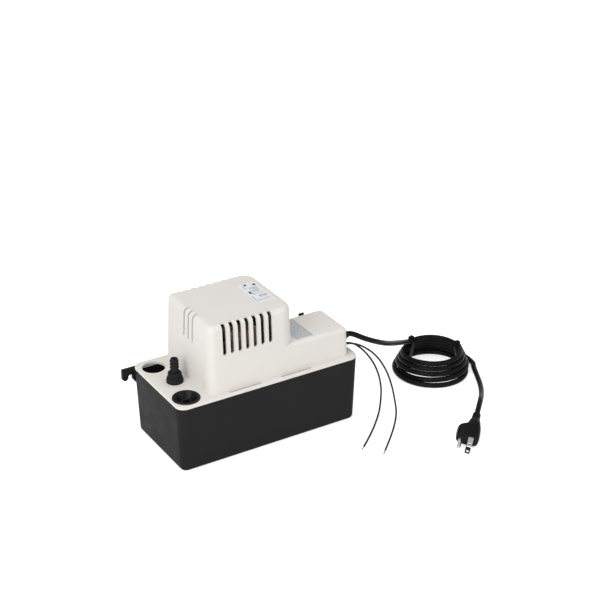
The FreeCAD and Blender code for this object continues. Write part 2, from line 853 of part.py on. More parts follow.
# The plate that closes the cover from below and carries the motor, the pump and the switches
def make_plate():
    body = new_body("deck_plate")
    outline = sketch_on(body, "outline", at=plate_low)
    left, right = dome_start_x - d.plate_margin, step_end_x + d.plate_margin
    inner_x = d.dome_end_x + d.plate_margin
    front = front_y + d.latch_gap - d.screw_clearance
    step_rear = d.step_rear_y + d.plate_margin
    lip_in = d.tank_width / 2 - d.tank_wall - d.lip_clearance - d.lip_wall
    rear = lip_in - d.lip_clearance
    corners = [(left, front), (right, front), (right, step_rear), (inner_x, step_rear)]
    corners += [(inner_x, rear), (left, rear)]
    polygon(outline, corners)
    pad(body, outline, d.plate_thickness)
    guide = sketch_on(body, "guide", at=plate_low)
    circle(guide, float_x, d.float_y, d.guide_radius)
    pad(body, guide, d.guide_depth, back=True)
    holes = sketch_on(body, "holes", at=d.tank_height)
    circle(holes, motor_x, motor_y, d.column_bore)
    circle(holes, float_x, d.float_y, d.rod_radius + d.rod_clearance)
    for x, y in boss_places:
        circle(holes, x, y, d.screw_radius + d.screw_clearance)
    for side in (-1, 1):
        place_x = motor_x + side * d.motor_screw_x
        circle(holes, place_x, motor_y, d.motor_screw_radius + d.screw_clearance)
    for x, y in bracket_screw_places:
        circle(holes, x, y, d.screw_radius + d.screw_clearance)
    circle(holes, *ground_screw_place, d.screw_radius + d.screw_clearance)
    pocket(body, holes, d.plate_thickness + d.guide_depth)
    return body


def make_deck_screws():
    screws = []
    for i, (x, y) in enumerate(boss_places, start=1):
        length = d.plate_thickness + d.boss_height - 2 * d.screw_radius
        name = f"deck_screw_{i}"
        head = (d.screw_head_radius, d.screw_head_height)
        screws.append(screw(name, x, y, plate_low, length, d.screw_radius, *head, way=-1))
    return group("deck_screws", *screws)


# Plugs in two of the inlets: a cup with a rim, and an upright tab to pull it by
def make_inlet_plug(name, x, y, tab_top):
    body = new_body(name, x, y, deck_top)
    outer = d.inlet_radius - d.plug_clearance
    mouth = d.plug_mouth_radius
    cup = sketch_on(body, "cup", "XZ_Plane")
    profile = [
        (0, -d.plug_depth),
        (outer - d.plug_floor / 2, -d.plug_depth),
        (outer, -d.plug_depth + d.plug_floor / 2),
        (outer, 0),
        (d.plug_rim_radius, 0),
        (d.plug_rim_radius - d.plug_rim_height / 2, d.plug_rim_height),
        (mouth + d.plug_rim_height / 2, d.plug_rim_height),
        (mouth - d.plug_rim_height, -d.plug_rim_height),
        (mouth - 2 * d.plug_floor, -d.plug_depth + 1.6 * d.plug_floor),
        (mouth / 2, -d.plug_depth + d.plug_floor),
        (0, -d.plug_depth + d.plug_floor),
    ]
    polygon(cup, profile)
    turn(body, cup)
    tab = sketch_on(body, "tab", at=-d.plug_depth + d.plug_floor / 2)
    half_width, half_thickness = d.plug_tab_width / 2, d.plug_tab_thickness / 2
    rounded_rectangle(
        tab, -half_width, -half_thickness, half_width, half_thickness, half_thickness - 0.1
    )
    pad(body, tab, d.plug_depth - d.plug_floor / 2 + tab_top)
    return body


# Labels: thin stickers on the flat tops of the dome and the step
def make_dome_label():
    body = new_body("dome_label")
    outline = sketch_on(body, "outline", at=dome_top)
    right_x = d.dome_end_x - d.dome_label_inset
    half = d.dome_label_length / 2
    rounded_rectangle(
        outline,
        right_x - d.dome_label_width,
        d.dome_label_centre_y - half,
        right_x,
        d.dome_label_centre_y + half,
        d.plug_rim_height,
    )
    pad(body, outline, d.label_thickness)
    return body


def make_step_label():
    body = new_body("step_label")
    outline = sketch_on(body, "outline", at=step_top)
    left_x = d.dome_end_x + d.step_label_gap
    rounded_rectangle(
        outline,
        left_x,
        front_y + d.step_label_front_inset,
        left_x + d.step_label_length,
        d.step_rear_y - d.step_label_rear_inset,
        d.plug_rim_height,
    )
    pad(body, outline, d.label_thickness)
    return body


# The outlet: a barbed fitting that holds the check valve's ball over the pump tube's seat
def make_fitting():
    base_top = d.fitting_base_height
    collar_top = base_top + d.fitting_collar_height
    spigot_low = -d.fitting_spigot_depth
    groove_low = spigot_low + 2 * d.socket_floor
    groove_high = groove_low + 2 * d.seal_radius + 0.2
    groove_floor = d.fitting_spigot_radius - 2 * d.seal_radius
    profile = [
        (d.valve_chamber_radius, spigot_low),
        (d.fitting_spigot_radius, spigot_low),
        (d.fitting_spigot_radius, groove_low),
        (groove_floor, groove_low),
        (groove_floor, groove_high),
        (d.fitting_spigot_radius, groove_high),
        (d.fitting_spigot_radius, 0),
        (d.fitting_base_radius, 0),
        (d.fitting_base_radius, base_top * 0.45),
        (d.fitting_base_radius - 0.9, base_top),
        (d.fitting_collar_radius, base_top),
        (d.fitting_collar_radius, collar_top - 1),
        (d.fitting_collar_radius - 1, collar_top),
        (d.barb_core_radius, collar_top),
    ]
    for i in range(int(SIZES["barb_count"])):
        foot = collar_top + d.barb_pitch * i + (d.barb_pitch - d.barb_land) / 2
        profile.append((d.barb_core_radius, foot))
        profile.append((d.barb_radius, foot))
        profile.append((d.barb_radius, foot + d.barb_land))
        profile.append((d.barb_core_radius, foot + d.barb_pitch / 2 + d.barb_land))
    top = collar_top + d.barb_pitch * d.barb_count + d.barb_land
    chamber_top = spigot_low + d.valve_chamber_height
    profile.append((d.barb_core_radius, top))
    profile.append((d.outlet_bore, top))
    profile.append((d.outlet_bore, chamber_top + d.valve_chamber_radius - d.outlet_bore))
    profile.append((d.valve_chamber_radius, chamber_top))
    return turned_part("discharge_fitting", profile, outlet_x, d.outlet_y, deck_top)


def make_seal():
    seal = doc.addObject("Part::Torus", "fitting_seal")
    seal.Label = "fitting_seal"
    bind(seal, "Radius1", d.fitting_spigot_radius - d.seal_radius)
    bind(seal, "Radius2", d.seal_radius)
    groove_low = deck_top - d.fitting_spigot_depth + 2 * d.socket_floor
    return place(seal, outlet_x, d.outlet_y, groove_low + d.seal_radius + 0.1)


def make_ball():
    ball = doc.addObject("Part::Sphere", "check_ball")
    ball.Label = "check_ball"
    bind(ball, "Radius", d.ball_radius)
    lift = root(d.ball_radius * d.ball_radius - d.valve_seat_radius * d.valve_seat_radius)
    seat = socket_seat + d.socket_floor
    return place(ball, outlet_x, d.outlet_y, seat + lift + d.ball_clearance)


def make_discharge_tube():
    """A bent pipe from the volute's port to a socket under the deck."""
    start_x = motor_x - d.volute_radius - d.port_length
    corner = Vector(outlet_x.number, d.outlet_y.number, d.port_z.number)
    start = Vector(start_x.number, corner.y, corner.z)
    top = Vector(corner.x, corner.y, socket_seat.number)
    bend = d.tube_bend.number
    before, after = corner + Vector(bend, 0, 0), corner + Vector(0, 0, bend)
    slack = bend * (1 - math.sqrt(0.5))
    middle = corner + Vector(slack, 0, slack)
    route = Part.Wire(
        [
            Part.LineSegment(start, before).toShape(),
            Part.Arc(before, middle, after).toShape(),
            Part.LineSegment(after, top).toShape(),
        ]
    )

    def pipe(radius):
        section = Part.Wire([Part.Circle(start, Vector(-1, 0, 0), radius).toShape()])
        return route.makePipeShell([section], True, False)

    pipe_wall = pipe(d.tube_radius.number).cut(pipe(d.tube_bore.number))
    inner = (d.fitting_spigot_radius + d.socket_clearance).number
    outer = inner + d.socket_wall.number
    height = (d.tank_height - socket_seat).number
    cup = Part.makeCylinder(outer, height, top)
    cup = cup.cut(Part.makeCylinder(inner, height, top + Vector(0, 0, d.socket_floor.number)))
    cup = cup.cut(Part.makeCylinder(d.valve_seat_radius.number, height, top))
    return feature("discharge_tube", pipe_wall.fuse(cup).removeSplitter())


# The motor: a shaded-pole stator with its coil on the front limb, and its brackets
front_bore = motor_y - d.bore_radius - d.yoke
window_front = front_bore - d.window_depth
limb_front = window_front - d.limb_width


def make_stator():
    body = new_body("stator_core")
    outline = sketch_on(body, "outline", at=stack_low)
    low_x, high_x = motor_x - d.stack_half_length, motor_x + d.stack_half_length
    rounded_rectangle(outline, low_x, limb_front, high_x, motor_y + d.stack_rear, as_size(3))
    window_low, window_high = motor_x - d.window_half_length, motor_x + d.window_half_length
    rectangle(outline, window_low, window_front, window_high, front_bore)
    circle(outline, motor_x, motor_y, d.bore_radius)
    for side in (-1, 1):
        place_x = motor_x + side * d.motor_screw_x
        circle(outline, place_x, motor_y, d.motor_screw_radius + d.screw_clearance)
        half = d.shading_wire / 2 + d.shading_clearance
        for reach in (d.shading_inner_x, d.shading_outer_x):
            x = motor_x + side * reach
            y = motor_y + side * d.shading_y
            rectangle(outline, x - half, y - half, x + half, y + half)
    pad(body, outline, stack_top - stack_low)
    return body


def make_shading_rings():
    rings = []
    half = d.shading_wire / 2
    for side, word in ((-1, "left"), (1, "right")):
        y = motor_y + side * d.shading_y
        near, far = motor_x + side * d.shading_inner_x, motor_x + side * d.shading_outer_x
        low_x, high_x = (far, near) if side < 0 else (near, far)
        low_z, high_z = stack_low - d.shading_wire, stack_top + d.shading_wire
        outer = box(f"{word}_ring", low_x - half, y - half, low_z, high_x + half, y + half, high_z)
        inner = box(
            f"{word}_ring_window",
            low_x + half,
            y - half,
            stack_low - d.screw_clearance,
            high_x - half,
            y + half,
            stack_top + d.screw_clearance,
        )
        rings.append(cut(f"{word}_shading_ring", outer, inner))
    return group("shading_rings", *rings)


def coil_frame(name, inset_x, low_margin, high_margin, at_end=None):
    """A rectangular tube round the front limb, between two margins from the limb's faces."""
    low_x = motor_x - d.window_half_length + inset_x
    high_x = motor_x + d.window_half_length - inset_x
    if at_end is not None:
        low_x, high_x = at_end
    outer = box(
        f"{name}_outer",
        low_x,
        limb_front - high_margin,
        stack_low - high_margin,
        high_x,
        window_front + high_margin,
        stack_top + high_margin,
    )
    inner = box(
        f"{name}_inner",
        low_x,
        limb_front - low_margin,
        stack_low - low_margin,
        high_x,
        window_front + low_margin,
        stack_top + low_margin,
    )
    return cut(name, outer, inner)


bobbin_core = d.bobbin_clearance + d.bobbin_wall
coil_margin = bobbin_core + d.coil_build


def make_bobbin():
    inset = d.bobbin_clearance
    core = coil_frame("bobbin_core", inset, d.bobbin_clearance, bobbin_core)
    low_x = motor_x - d.window_half_length + inset
    high_x = motor_x + d.window_half_length - inset
    rim = coil_margin + d.bobbin_clearance
    left = coil_frame(
        "bobbin_left", inset, d.bobbin_clearance, rim, (low_x, low_x + d.bobbin_wall)
    )
    right = coil_frame(
        "bobbin_right", inset, d.bobbin_clearance, rim, (high_x - d.bobbin_wall, high_x)
    )
    bobbin = fuse("coil_bobbin", core, left, right)
    bobbin.Label = "coil_bobbin"
    return bobbin


def make_winding():
    inset = d.bobbin_clearance + d.bobbin_wall
    block = coil_frame("winding_block", inset, bobbin_core, coil_margin)
    doc.recompute()
    winding = doc.addObject("Part::Fillet", "coil_winding")
    winding.Label = "coil_winding"
    winding.Base = block
    outer_y = (limb_front - coil_margin, window_front + coil_margin)
    outer_z = (stack_low - coil_margin, stack_top + coil_margin)

    def corner(edge):
        ends = edge.Vertexes
        flat = all(
            min(abs(v.Y - y.number) for y in outer_y) < 1e-4
            and min(abs(v.Z - z.number) for z in outer_z) < 1e-4
            for v in ends
        )
        return flat and abs(ends[0].X - ends[-1].X) > 1

    radius = d.coil_build.number * 0.55
    winding.Edges = [
        (i, radius, radius) for i, edge in enumerate(block.Shape.Edges, start=1) if corner(edge)
    ]
    return winding


def make_bracket(name, face, way):
    """A hat-shaped strap over one face of the stator, with a bearing hub. way is 1 above, -1 below."""
    body = new_body(name, motor_x, motor_y, face)
    sheet_, rise, span = d.bracket_sheet, d.bracket_rise, d.bracket_half_span
    half = d.stack_half_length
    strap = sketch_on(body, "strap", "XZ_Plane", at=-d.bracket_width / 2)
    corners = [
        (-half, 0),
        (-span, 0),
        (-span, way * rise),
        (span, way * rise),
        (span, 0),
        (half, 0),
        (half, way * sheet_),
        (span + sheet_, way * sheet_),
        (span + sheet_, way * (rise + sheet_)),
        (-span - sheet_, way * (rise + sheet_)),
        (-span - sheet_, way * sheet_),
        (-half, way * sheet_),
    ]
    polygon(strap, corners)
    pad(body, strap, d.bracket_width)
    hub_start = way * (rise - (d.hub_height - sheet_) / 2)
    hub = sketch_on(body, "hub", at=hub_start)
    circle(hub, 0, 0, d.hub_radius)
    pad(body, hub, d.hub_height, back=way < 0)
    bore = sketch_on(body, "bore", at=hub_start)
    circle(bore, 0, 0, d.bearing_radius)
    pocket(body, bore, d.hub_height, along=way > 0)
    holes = sketch_on(body, "screw_holes", at=0)
    for side in (-1, 1):
        circle(holes, side * d.motor_screw_x, 0, d.motor_screw_radius + d.screw_clearance)
    pocket(body, holes, sheet_, along=way > 0)
    return body


def make_bearing(name, face, way):
    start = way * (d.bracket_rise - (d.hub_height - d.bracket_sheet) / 2)
    low, high = (start, start + d.hub_height) if way > 0 else (start - d.hub_height, start)
    profile = ring_profile(d.shaft_radius + d.shaft_clearance, d.bearing_radius, low, high)
    return turned_part(name, profile, motor_x, motor_y, face)


def make_motor_screws():
    head_z = stack_top + d.bracket_sheet
    length = head_z - plate_low
    head = (d.motor_screw_head_radius, d.motor_screw_head_height)
    screws = []
    for side, word in ((-1, "left"), (1, "right")):
        x = motor_x + side * d.motor_screw_x
        name = f"{word}_motor_screw"
        screws.append(screw(name, x, motor_y, head_z, length, d.motor_screw_radius, *head))
    return group("motor_screws", *screws)


def make_standoffs():
    sleeves = []
    height = stack_low - d.bracket_sheet - d.tank_height
    for side, word in ((-1, "left"), (1, "right")):
        x = motor_x + side * d.motor_screw_x
        outer = rod(f"{word}_sleeve", x, motor_y, d.tank_height, d.standoff_radius, height)
        bore_radius = d.motor_screw_radius + d.screw_clearance
        bore = rod(f"{word}_sleeve_bore", x, motor_y, d.tank_height, bore_radius, height)
        sleeves.append(cut(f"{word}_standoff", outer, bore))
    return group("motor_standoffs", *sleeves)


# The turning parts: shaft, rotor, fan, slinger and impeller
fan_low = stack_top + d.bracket_rise + (d.hub_height + d.bracket_sheet) / 2 + d.fan_gap
fan_top = fan_low + d.fan_disc + d.fan_blade_height
impeller_top = volute_cavity_top - d.impeller_gap
impeller_low = volute_low + d.impeller_gap


def make_shaft():
    profile = [(0, impeller_low), (d.shaft_radius, impeller_low), (d.shaft_radius, fan_top), (0, fan_top)]
    return turned_part("shaft", profile, motor_x, motor_y)


def make_rotor():
    radius = d.bore_radius - d.rotor_gap
    ring = radius - 2
    low, high = stack_low - d.end_ring_height, stack_top + d.end_ring_height
    profile = [
        (d.shaft_radius, stack_low),
        (ring - 4, stack_low),
        (ring - 4, low),
        (ring, low),
        (ring, stack_low),
        (radius, stack_low),
        (radius, stack_top),
        (ring, stack_top),
        (ring, high),
        (ring - 4, high),
        (ring - 4, stack_top),
        (d.shaft_radius, stack_top),
    ]
    return turned_part("rotor_core", profile, motor_x, motor_y)


def make_fan():
    body = new_body("cooling_fan", motor_x, motor_y)
    disc = sketch_on(body, "disc", at=fan_low)
    circle(disc, 0, 0, d.fan_radius)
    circle(disc, 0, 0, d.shaft_radius)
    pad(body, disc, d.fan_disc)
    hub = sketch_on(body, "hub", at=fan_low)
    circle(hub, 0, 0, 2 * d.shaft_radius)
    circle(hub, 0, 0, d.shaft_radius)
    pad(body, hub, d.fan_disc + d.fan_blade_height)
    blade = sketch_on(body, "blade", at=fan_low)
    half = d.fan_disc / 2
    rectangle(blade, d.fan_radius / 2, -half, d.fan_radius - half, half)
    first = pad(body, blade, d.fan_disc + d.fan_blade_height)
    repeat_round(body, first, d.fan_blade_count)
    return body


def make_slinger():
    high = slinger_low + d.slinger_height
    profile = ring_profile(d.shaft_radius, d.slinger_radius, slinger_low, high)
    return turned_part("slinger", profile, motor_x, motor_y)


def make_impeller():
    body = new_body("impeller", motor_x, motor_y)
    disc = sketch_on(body, "disc", at=impeller_top - d.impeller_disc)
    circle(disc, 0, 0, d.impeller_radius)
    circle(disc, 0, 0, d.shaft_radius)
    pad(body, disc, d.impeller_disc)
    hub = sketch_on(body, "hub", at=impeller_low)
    circle(hub, 0, 0, d.impeller_hub_radius)
    circle(hub, 0, 0, d.shaft_radius)
    pad(body, hub, impeller_top - impeller_low)
    vane = sketch_on(body, "vane", at=impeller_low)
    half = d.vane_thickness / 2
    rectangle(vane, d.impeller_hub_radius - half, -half, d.impeller_radius - half, half)
    first = pad(body, vane, impeller_top - impeller_low)
    repeat_round(body, first, d.vane_count)
    return body


# The pump: column, volute, intake plate and its screws
def make_column():
    foot_top = volute_top + d.column_flange_height
    flange_low = plate_low - d.column_flange_height
    profile = [
        (d.column_bore, volute_top),
        (d.column_foot_radius, volute_top),
        (d.column_foot_radius, foot_top),
        (d.column_radius, foot_top),
        (d.column_radius, flange_low),
        (d.column_flange_radius, flange_low),
        (d.column_flange_radius, plate_low),
        (d.column_bore, plate_low),
    ]
    return turned_part("pump_column", profile, motor_x, motor_y)


def make_volute():
    body = new_body("volute", motor_x, motor_y)
    casing = sketch_on(body, "casing", "XZ_Plane")
    shoulder = d.volute_radius - d.volute_roof / 2
    profile = [
        (0, volute_low),
        (d.volute_radius, volute_low),
        (d.volute_radius, volute_cavity_top + d.volute_roof / 2),
        (shoulder, volute_top),
        (0, volute_top),
    ]
    polygon(casing, profile)
    turn(body, casing)
    port_y = d.outlet_y - motor_y
    port = sketch_on(body, "port", "YZ_Plane", at=-d.volute_radius - d.port_length)
    circle(port, port_y, d.port_z, d.port_radius)
    pad(body, port, d.port_length + d.volute_radius)
    cavity = sketch_on(body, "cavity", at=volute_low)
    circle(cavity, 0, 0, d.volute_cavity_radius)
    pocket(body, cavity, d.volute_cavity_height, along=True)
    shaft_hole = sketch_on(body, "shaft_hole", at=volute_top)
    circle(shaft_hole, 0, 0, d.shaft_radius + d.rod_clearance)
    pocket(body, shaft_hole, d.volute_roof)
    port_bore = sketch_on(body, "port_bore", "YZ_Plane", at=-d.volute_radius - d.port_length)
    circle(port_bore, port_y, d.port_z, d.tube_bore)
    pocket(body, port_bore, d.port_length + d.volute_radius, along=True)
    screw_holes = sketch_on(body, "screw_holes", at=volute_low)
    for x, y in volute_screw_offsets:
        circle(screw_holes, x, y, d.screw_radius + d.screw_clearance)
    pocket(body, screw_holes, d.volute_cavity_height - d.intake_thickness, along=True)
    return body


screw_circle = (d.volute_radius + d.volute_cavity_radius) / 2
volute_screw_offsets = [
    (screw_circle * math.cos(math.radians(angle)), screw_circle * math.sin(math.radians(angle)))
    for angle in (45, 135, 225, 315)
]


def make_intake():
    body = new_body("intake_plate", motor_x, motor_y)
    disc = sketch_on(body, "disc", at=d.intake_low_z)
    circle(disc, 0, 0, d.volute_radius)
    circle(disc, 0, 0, d.intake_hole_radius)
    for x, y in volute_screw_offsets:
        circle(disc, x, y, d.screw_radius + d.screw_clearance)
    pad(body, disc, d.intake_thickness)
    return body


def make_volute_screws():
    screws = []
    length = volute_cavity_top - d.intake_thickness - d.intake_low_z - d.screw_radius
    head = (d.screw_head_radius, d.screw_head_height)
    for i, (x, y) in enumerate(volute_screw_offsets, start=1):
        place_x, place_y = motor_x + x, motor_y + y
        name = f"volute_screw_{i}"
        args = (name, place_x, place_y, d.intake_low_z, length, d.screw_radius, *head)
        screws.append(screw(*args, way=-1))
    return group("volute_screws", *screws)


# The float on its rod, which lifts the lever of the two switches
def make_float():
    body = new_body("float", float_x, d.float_y, d.float_low_z)
    half = d.float_length / 2
    block = sketch_on(body, "block")
    rounded_rectangle(block, -half, -half, half, half, d.float_round)
    circle(block, 0, 0, d.rod_radius)
    pad(body, block, d.float_height)
    hole = d.rod_radius.number + 1

    def rim(edge):
        ends = edge.Vertexes
        level = abs(ends[0].Z - ends[-1].Z) < 1e-4
        return level and all(math.hypot(v.X, v.Y) > hole for v in ends)

    round_edges(body, d.float_round / 2, rim)
    return body


def make_float_rod():
    top = lever_low - d.lever_gap
    profile = [(0, d.rod_low_z), (d.rod_radius, d.rod_low_z), (d.rod_radius, top), (0, top)]
    return turned_part("float_rod", profile, float_x, d.float_y)


def make_rod_clips():
    float_top = d.float_low_z + d.float_height
    clips = []
    for word, low in (("lower", d.float_low_z - d.clip_height), ("upper", float_top)):
        outer = rod(f"{word}_clip_disc", float_x, d.float_y, low, d.clip_radius, d.clip_height)
        bore = rod(f"{word}_clip_bore", float_x, d.float_y, low, d.rod_radius, d.clip_height)
        clips.append(cut(f"{word}_clip", outer, bore))
    return group("rod_clips", *clips)


bracket_screw_places = [
    (bracket_nose_x - 2 * d.screw_head_radius / 2 - 1, d.bracket_front_y + d.screw_head_radius + 1),
    (bracket_nose_x - 2 * d.screw_head_radius / 2 - 1, d.bracket_rear_y - d.screw_head_radius - 1),
]


def make_switch_bracket():
    """Bent sheet: a foot on the plate, a back for the switches and two cheeks for the lever's pin."""
    top = switch_low + d.switch_height
    foot_top = d.tank_height + d.cheek_thickness
    back_x = bracket_back_x + d.cheek_thickness
    front, rear, sheet_ = d.bracket_front_y, d.bracket_rear_y, d.cheek_thickness
    body = new_body("switch_bracket")
    foot = sketch_on(body, "foot", at=d.tank_height)
    rectangle(foot, bracket_back_x, front, bracket_nose_x, rear)
    for x, y in bracket_screw_places:
        circle(foot, x, y, d.screw_radius + d.screw_clearance)
    pad(body, foot, sheet_)
    back = sketch_on(body, "back", "YZ_Plane", at=bracket_back_x)
    rectangle(back, front, foot_top, rear, top)
    for y in (d.pump_switch_y, d.safety_switch_y):
        circle(back, y, switch_low + d.switch_height / 2, d.screw_radius + d.screw_clearance)
    pad(body, back, sheet_)
    for word, edge in (("front", -front), ("rear", -rear + sheet_)):
        cheek = sketch_on(body, f"{word}_cheek", "XZ_Plane", at=edge)
        rectangle(cheek, back_x, foot_top, cheek_nose_x, lever_z + 2 * d.lever_barrel_radius)
        circle(cheek, pivot_x, lever_z, d.pin_radius)
        pad(body, cheek, sheet_, back=True)
    return body


def make_bracket_screws():
    screws = []
    head_z = d.tank_height + d.cheek_thickness
    length = d.cheek_thickness + d.plate_thickness
    head = (d.screw_head_radius, d.screw_head_height)
    for i, (x, y) in enumerate(bracket_screw_places, start=1):
        name = f"bracket_screw_{i}"
        screws.append(screw(name, x, y, head_z, length, d.screw_radius, *head))
    return group("bracket_screws", *screws)


def make_lever_pin():
    length = d.bracket_rear_y - d.bracket_front_y
    along_y = Vector(0, 1, 0)
    pin_rod = rod("lever_pin", pivot_x, d.bracket_front_y, lever_z, d.pin_radius, length, along_y)
    pin_rod.Label = "lever_pin"
    return pin_rod


def make_lever():
    body = new_body("switch_lever")
    wing_gap = d.cheek_thickness + d.pin_clearance * 10
    front, rear = d.bracket_front_y + wing_gap, d.bracket_rear_y - wing_gap
    wing_x = button_x + d.lever_overhang / 2
    arm_half = d.rod_radius * 2
    plate = sketch_on(body, "plate", at=lever_low)
    end_x = float_x + d.lever_overhang
    corners = [
        (pivot_x, front),
        (wing_x, front),
        (wing_x, d.float_y - arm_half),
        (end_x, d.float_y - arm_half),
        (end_x, d.float_y + arm_half),
        (wing_x, d.float_y + arm_half),
        (wing_x, rear),
        (pivot_x, rear),
    ]
    polygon(plate, corners)
    pad(body, plate, d.lever_sheet)
    barrel = sketch_on(body, "barrel", "XZ_Plane", at=-front)
    circle(barrel, pivot_x, lever_z, d.lever_barrel_radius)
    pad(body, barrel, rear - front, back=True)
    bore = sketch_on(body, "bore", "XZ_Plane", at=-front)
    circle(bore, pivot_x, lever_z, d.pin_radius + d.pin_clearance)
    pocket(body, bore, rear - front)
    return body


def make_switch(name, y):
    """A snap-action switch screwed to the bracket's back, with a hole for its button."""
    body = new_body(name, bracket_back_x + d.cheek_thickness, y, switch_low)
    half = d.switch_width / 2
    block = sketch_on(body, "block")
    rectangle(block, 0, -half, d.switch_length, half)
    pad(body, block, d.switch_height)
    terminals = sketch_on(body, "terminals", at=d.switch_height)
    for x in (d.switch_length / 4, d.switch_length / 2, d.switch_length * 3 / 4):
        rectangle(terminals, x - 0.5, -half / 2, x + 0.5, half / 2)
    pad(body, terminals, d.button_drop)
    well = sketch_on(body, "well")
    button_place = button_x - bracket_back_x - d.cheek_thickness
    circle(well, button_place, 0, d.button_radius + d.pin_clearance)
    pocket(body, well, d.button_sink * 2, along=True)
    screw_hole = sketch_on(body, "screw_hole", "YZ_Plane")
    circle(screw_hole, 0, d.switch_height / 2, d.screw_radius + d.screw_clearance)
    pocket(body, screw_hole, d.switch_length / 3, along=True)
    return body


def make_button(name, y):
    low, high = switch_low - d.button_drop, switch_low + d.button_sink
    profile = [(0, low), (d.button_radius, low), (d.button_radius, high), (0, high)]
    return turned_part(name, profile, button_x, y)


def make_switch_screws():
    screws = []
    z = switch_low + d.switch_height / 2
    along_x = Vector(1, 0, 0)
    length = d.cheek_thickness + d.switch_length / 4
    for word, y in (("pump", d.pump_switch_y), ("safety", d.safety_switch_y)):
        head_x = bracket_back_x - d.screw_head_height
        head = rod(f"{word}_head", head_x, y, z, d.screw_head_radius, d.screw_head_height, along_x)
        shank = rod(f"{word}_shank", bracket_back_x, y, z, d.screw_radius, length, along_x)
        screws.append(fuse(f"{word}_switch_screw", head, shank))
    return group("switch_screws", *screws)


# Wiring inside the cover
connector_low = d.tank_height + d.cheek_thickness / 4
connector_places = [front_y + d.boss_inset + 2, front_y + d.boss_inset + 2 + 2.2 * d.connector_radius]


def make_connectors():
    caps = []
    along_x = Vector(1, 0, 0)
    z = connector_low + d.connector_radius
    for i, y in enumerate(connector_places, start=1):
        caps.append(
            rod(f"connector_{i}", connector_x, y, z, d.connector_radius, d.connector_length, along_x)
        )
    return group("wire_connectors", *caps)


def make_motor_leads():
    wires = []
    flange_x = (motor_x + d.window_half_length).number
    z = (connector_low + d.connector_radius).number
    for i, y in enumerate(connector_places):
        start = Vector(flange_x, (limb_front - d.standoff_radius).number, stack_top.number - 8 - 4 * i)
        end = Vector((connector_x - d.wire_start_gap).number, y.number, z)
        points = [
            start,
            start + Vector(16, -2, -4),
            Vector((start.x + end.x) / 2, (start.y + end.y) / 2, (start.z + z) / 2 + 6),
            end + Vector(-18, 0, 4),
            end,
        ]
        wires.append(tube_shape(points, d.wire_radius.number)[0])
    return feature("motor_leads", Part.makeCompound(wires))


def make_ground_screw():
    head = (d.screw_head_radius * 1.3, d.screw_head_height)
    args = (*ground_screw_place, d.tank_height, d.plate_thickness, d.screw_radius)
    ground = screw("ground_screw", *args, *head)
    ground.Label = "ground_screw"
    return ground


# Where the cord and the leads leave the cover
def wall_x(z):
    """The outer face of the step's end wall at a height."""
    return step_end_x - (z - deck_top) * tangent(d.cover_draft)


def make_relief():
    outside = wall_x(cord_hole_z + d.relief_radius)
    body = new_body("strain_relief", outside, cord_hole_y, cord_hole_z)
    section = sketch_on(body, "profile", "XZ_Plane")
    head, inside = d.relief_head, -d.relief_inside
    neck = d.relief_neck_radius - d.socket_clearance
    seat = 2 * d.relief_radius * tangent(d.cover_draft)
    corners = [
        (inside, d.cord_radius),
        (inside, neck),
        (seat, neck),
        (seat, d.relief_radius),
        (seat + head, d.relief_radius),
        (seat + head, neck),
        (d.relief_length, d.relief_tip_radius),
        (d.relief_length, d.cord_radius),
    ]
    polygon(section, corners)
    turned = body.newObject("PartDesign::Revolution", "strain_relief_turned")
    turned.Profile = section
    turned.ReferenceAxis = (section, ["H_Axis"])
    turned.Angle = 360
    return body


def make_grommet():
    outside = wall_x(lead_hole_z + d.grommet_radius)
    body = new_body("lead_grommet", outside, cord_hole_y, lead_hole_z)
    section = sketch_on(body, "profile", "XZ_Plane")
    neck = d.grommet_neck_radius - d.socket_clearance
    seat = 2 * d.grommet_radius * tangent(d.cover_draft)
    inside = -d.cover_wall - d.grommet_head
    corners = [
        (inside, 0),
        (inside, neck),
        (seat, neck),
        (seat, d.grommet_radius),
        (seat + d.grommet_head, d.grommet_radius),
        (seat + d.grommet_head, 0),
    ]
    polygon(section, corners)
    turned = body.newObject("PartDesign::Revolution", "lead_grommet_turned")
    turned.Profile = section
    turned.ReferenceAxis = (section, ["H_Axis"])
    turned.Angle = 360
    holes = sketch_on(body, "holes", "YZ_Plane", at=seat + d.grommet_head)
    for side in (-1, 1):
        circle(holes, side * d.lead_spacing, 0, d.lead_radius)
    pocket(body, holes, seat + d.grommet_head - inside)
    return body


# The cord's route: from the relief's tip down to the coil, and from the coil to the mains plug
coil_centre = Vector(d.coil_x.number, d.coil_y.number, 0)
relief_tip = (
    (wall_x(cord_hole_z + d.relief_radius) + d.relief_length + d.cord_start_gap).number,
    cord_hole_y.number,
    cord_hole_z.number,
)
MAIN_ROUTE = [
    relief_tip,
    (146.0, -43.0, 98.5),
    (173.0, -40.0, 83.5),
    (204.0, -19.0, 64.0),
    (240.0, 9.5, 42.0),
    (264.0, 29.5, 25.45),
]
plug_neck = (d.mains_plug_x.number, d.mains_plug_y.number, d.mains_plug_axis_z.number)
